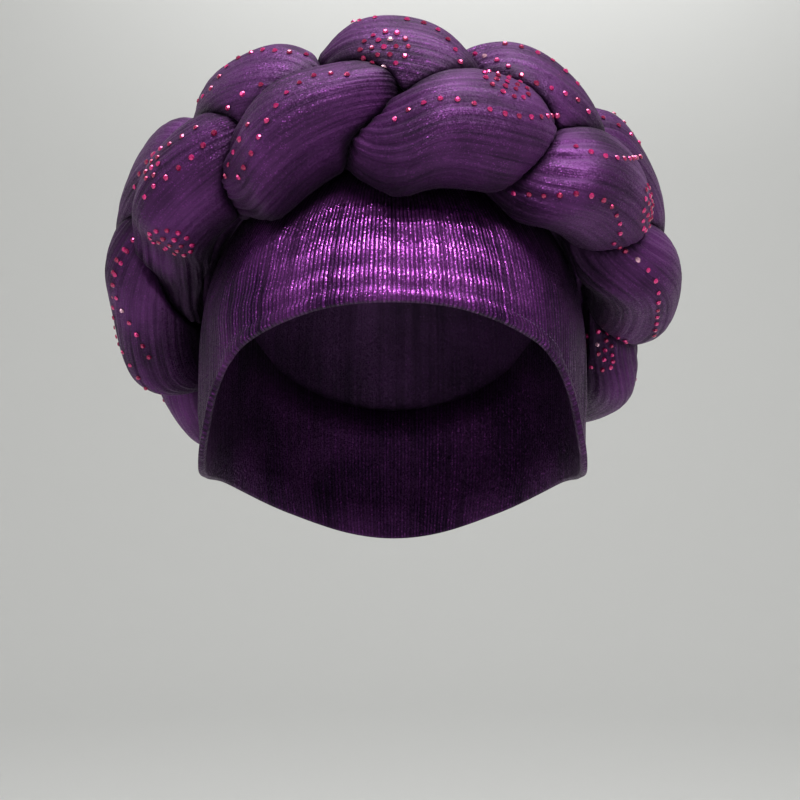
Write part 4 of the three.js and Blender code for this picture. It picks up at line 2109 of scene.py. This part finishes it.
class Carrier:
    """The braid's surface, on which stones are placed."""

    def __init__(self, strands: Sequence[bpy.types.Object], view: View) -> None:
        """Reads the strands' meshes.

        Args:
            strands: The three strands' objects.
            view: The camera's view.
        """
        self.view = view
        self.grids: list[Grid] = []
        faces, start = [], 0
        for strand in strands:
            mesh = strand.data
            points = np.empty(len(mesh.vertices) * 3, dtype=np.float32)
            mesh.vertices.foreach_get("co", points)
            self.grids.append(points.reshape(-1, 3) / MM)
            faces.append(mesh_triangles(mesh) + start)
            start += len(mesh.vertices)
        corners, triangles = np.concatenate(self.grids).tolist(), np.concatenate(faces).tolist()
        self.tree = BVHTree.FromPolygons(corners, triangles, all_triangles=True)

    def shade(self, points: Grid, reach: float) -> Grid:
        """How much painted shade points get from the braid beside them.

        Args:
            points: Points, with x, y and z last.
            reach: How far the braid's painted shade reaches, in millimetres.

        Returns:
            A share for each point, 1 at the braid.
        """
        away = [self.tree.find_nearest(Vector(point), 2 * reach)[3] for point in points.reshape(-1, 3)]
        far = np.array([2 * reach if a is None else a for a in away])
        return 1 - smooth_step(0.15 * reach, reach, far.reshape(points.shape[:-1]))

    def hit(self, pixel: tuple[float, float]) -> tuple[Grid, Grid] | None:
        """Where a pixel of the view meets the braid, and the way it faces there."""
        place, normal, _, _ = self.tree.ray_cast(Vector(self.view.place), self.view.ray(*pixel))
        return None if place is None else (np.array(place), np.array(normal))

    def seen_trail(self, pixels: Sequence[tuple[float, float]]) -> Trail | None:
        """A trail through places of the front view.

        Args:
            pixels: A few places in the view.

        Returns:
            The trail on the braid, or None where the view shows no braid.
        """
        given = np.array(pixels, dtype=float)
        steps = np.linspace(0, len(given) - 1, 8 * len(given))
        columns, rows = (smooth_through(given[:, i], steps) for i in range(2))
        hits = [hit for pixel in zip(columns, rows) if (hit := self.hit(pixel)) is not None]
        return through(hits) if hits else None

    def strand_trail(self, number: int, degrees: Grid, girth: Grid) -> Trail:
        """A trail through places of one strand.

        Args:
            number: Number of the strand, from 0.
            degrees: Places round the head.
            girth: Angles round the strand, in radians.

        Returns:
            The trail on the braid.
        """
        grid, sides = self.grids[number], PaddedStrand.sides
        stations = len(grid) // sides
        i = np.round((degrees + FULL_TURN / 2) / FULL_TURN * stations).astype(int) % stations
        j = np.round(girth / math.tau * sides).astype(int) % sides
        return through([self._nearest(grid[a * sides + b]) for a, b in zip(i, j)])

    def flower(self, centre: tuple[Grid, Grid] | None, rings: int, petal: float) -> Trail | None:
        """Loose places in rings round a middle place.

        Args:
            centre: The middle place and the way it faces.
            rings: Number of rings.
            petal: Distance from stone to stone.

        Returns:
            The places, moved onto the braid, or None without a middle place.
        """
        if centre is None:
            return None
        place, facing = centre
        side = unit_vectors(np.cross(facing, [0.0, 0.3, 1.0]))
        up = np.cross(side, facing)
        spots = [place]
        for ring in range(1, rings + 1):
            for turn in np.arange(6 * ring) / (6 * ring) * math.tau:
                spots.append(place + petal * ring * (side * math.cos(turn) + up * math.sin(turn)))
        return through([self._nearest(spot) for spot in spots], joined=False)

    def _nearest(self, point: Grid) -> tuple[Grid, Grid]:
        """Nearest place of the braid to a point, and the way it faces there."""
        place, normal, _, _ = self.tree.find_nearest(Vector(point))
        return np.array(place), np.array(normal)


def through(hits: Sequence[tuple[Grid, Grid]], joined: bool = True) -> Trail:
    """The trail through places that are given with the way the surface faces there."""
    points, normals = (np.array(x) for x in zip(*hits))
    return Trail(points, normals, joined)


def smooth_through(values: Grid, steps: Grid) -> Grid:
    """A smooth curve through values that are one step apart.

    Args:
        values: The values.
        steps: Where to read the curve, in steps from the first value.

    Returns:
        The curve's value at each place.
    """
    padded = np.concatenate([[2 * values[0] - values[1]], values, [2 * values[-1] - values[-2]]])
    i = np.clip(np.floor(steps).astype(int), 0, len(values) - 2)
    t = steps - i
    a, b, c, d = (padded[i + k] for k in range(4))
    bend = 2 * a - 5 * b + 4 * c - d
    return b + 0.5 * t * (c - a + t * (bend + t * (3 * (b - c) + d - a)))


@dataclass
class HemStitches:
    """The sewn line that holds the band's folded hem.

    Sizes are millimetres.
    """

    above_edge: float = 4.2
    sunk: float = 0.45
    spacing: float = 2.3
    size: float = 0.85
    lift: float = 0.1

    def build(self) -> bpy.types.Object:
        """Sews the stitches.

        Returns:
            The stitches' object.
        """
        degrees = np.linspace(-180, 180, 721)
        rise = HEAD.rim_rise(degrees) + self.above_edge
        out = Headband.outer - self.sunk + 0 * rise
        points = HEAD.point(degrees, rise, out)
        facing = unit_vectors(HEAD.point(degrees, rise, out + 1) - points)
        sizes = self.spacing, self.size, self.lift
        setter = RowSetter("hem_stitches", Unit.STITCH, *sizes, uneven=0.08, seed=5)
        return setter.build([Trail(points, facing)], SEWING_THREAD.material())

    def dress(self, made: bpy.types.Object) -> None:
        """Gives the stitches their place in the frame."""
        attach(made, "root")


def finished(piece: Any, *given: Carrier) -> bpy.types.Object:
    """Builds a piece, dresses it and logs it.

    Args:
        piece: The piece.
        given: What its build method needs.

    Returns:
        The piece's object.
    """
    made = piece.build(*given)
    piece.dress(made)
    log.info("%s: %d triangles", made.name, len(mesh_triangles(made.data)))
    return made


def main() -> None:
    """Builds the head tie, piece by piece, and the studio round it."""
    logging.basicConfig(level=logging.INFO, format="%(message)s")
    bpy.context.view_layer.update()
    view = View()
    view.build()
    Studio().build()

    cloth = BRAID_LUREX.material()
    carrier = Carrier([finished(PaddedStrand(number, cloth)) for number in range(BRAID.strands)], view)
    finished(Headband(), carrier)
    finished(Crown())
    finished(HemStitches())
    finished(Rhinestones(), carrier)


if __name__ == "__main__":
    main()
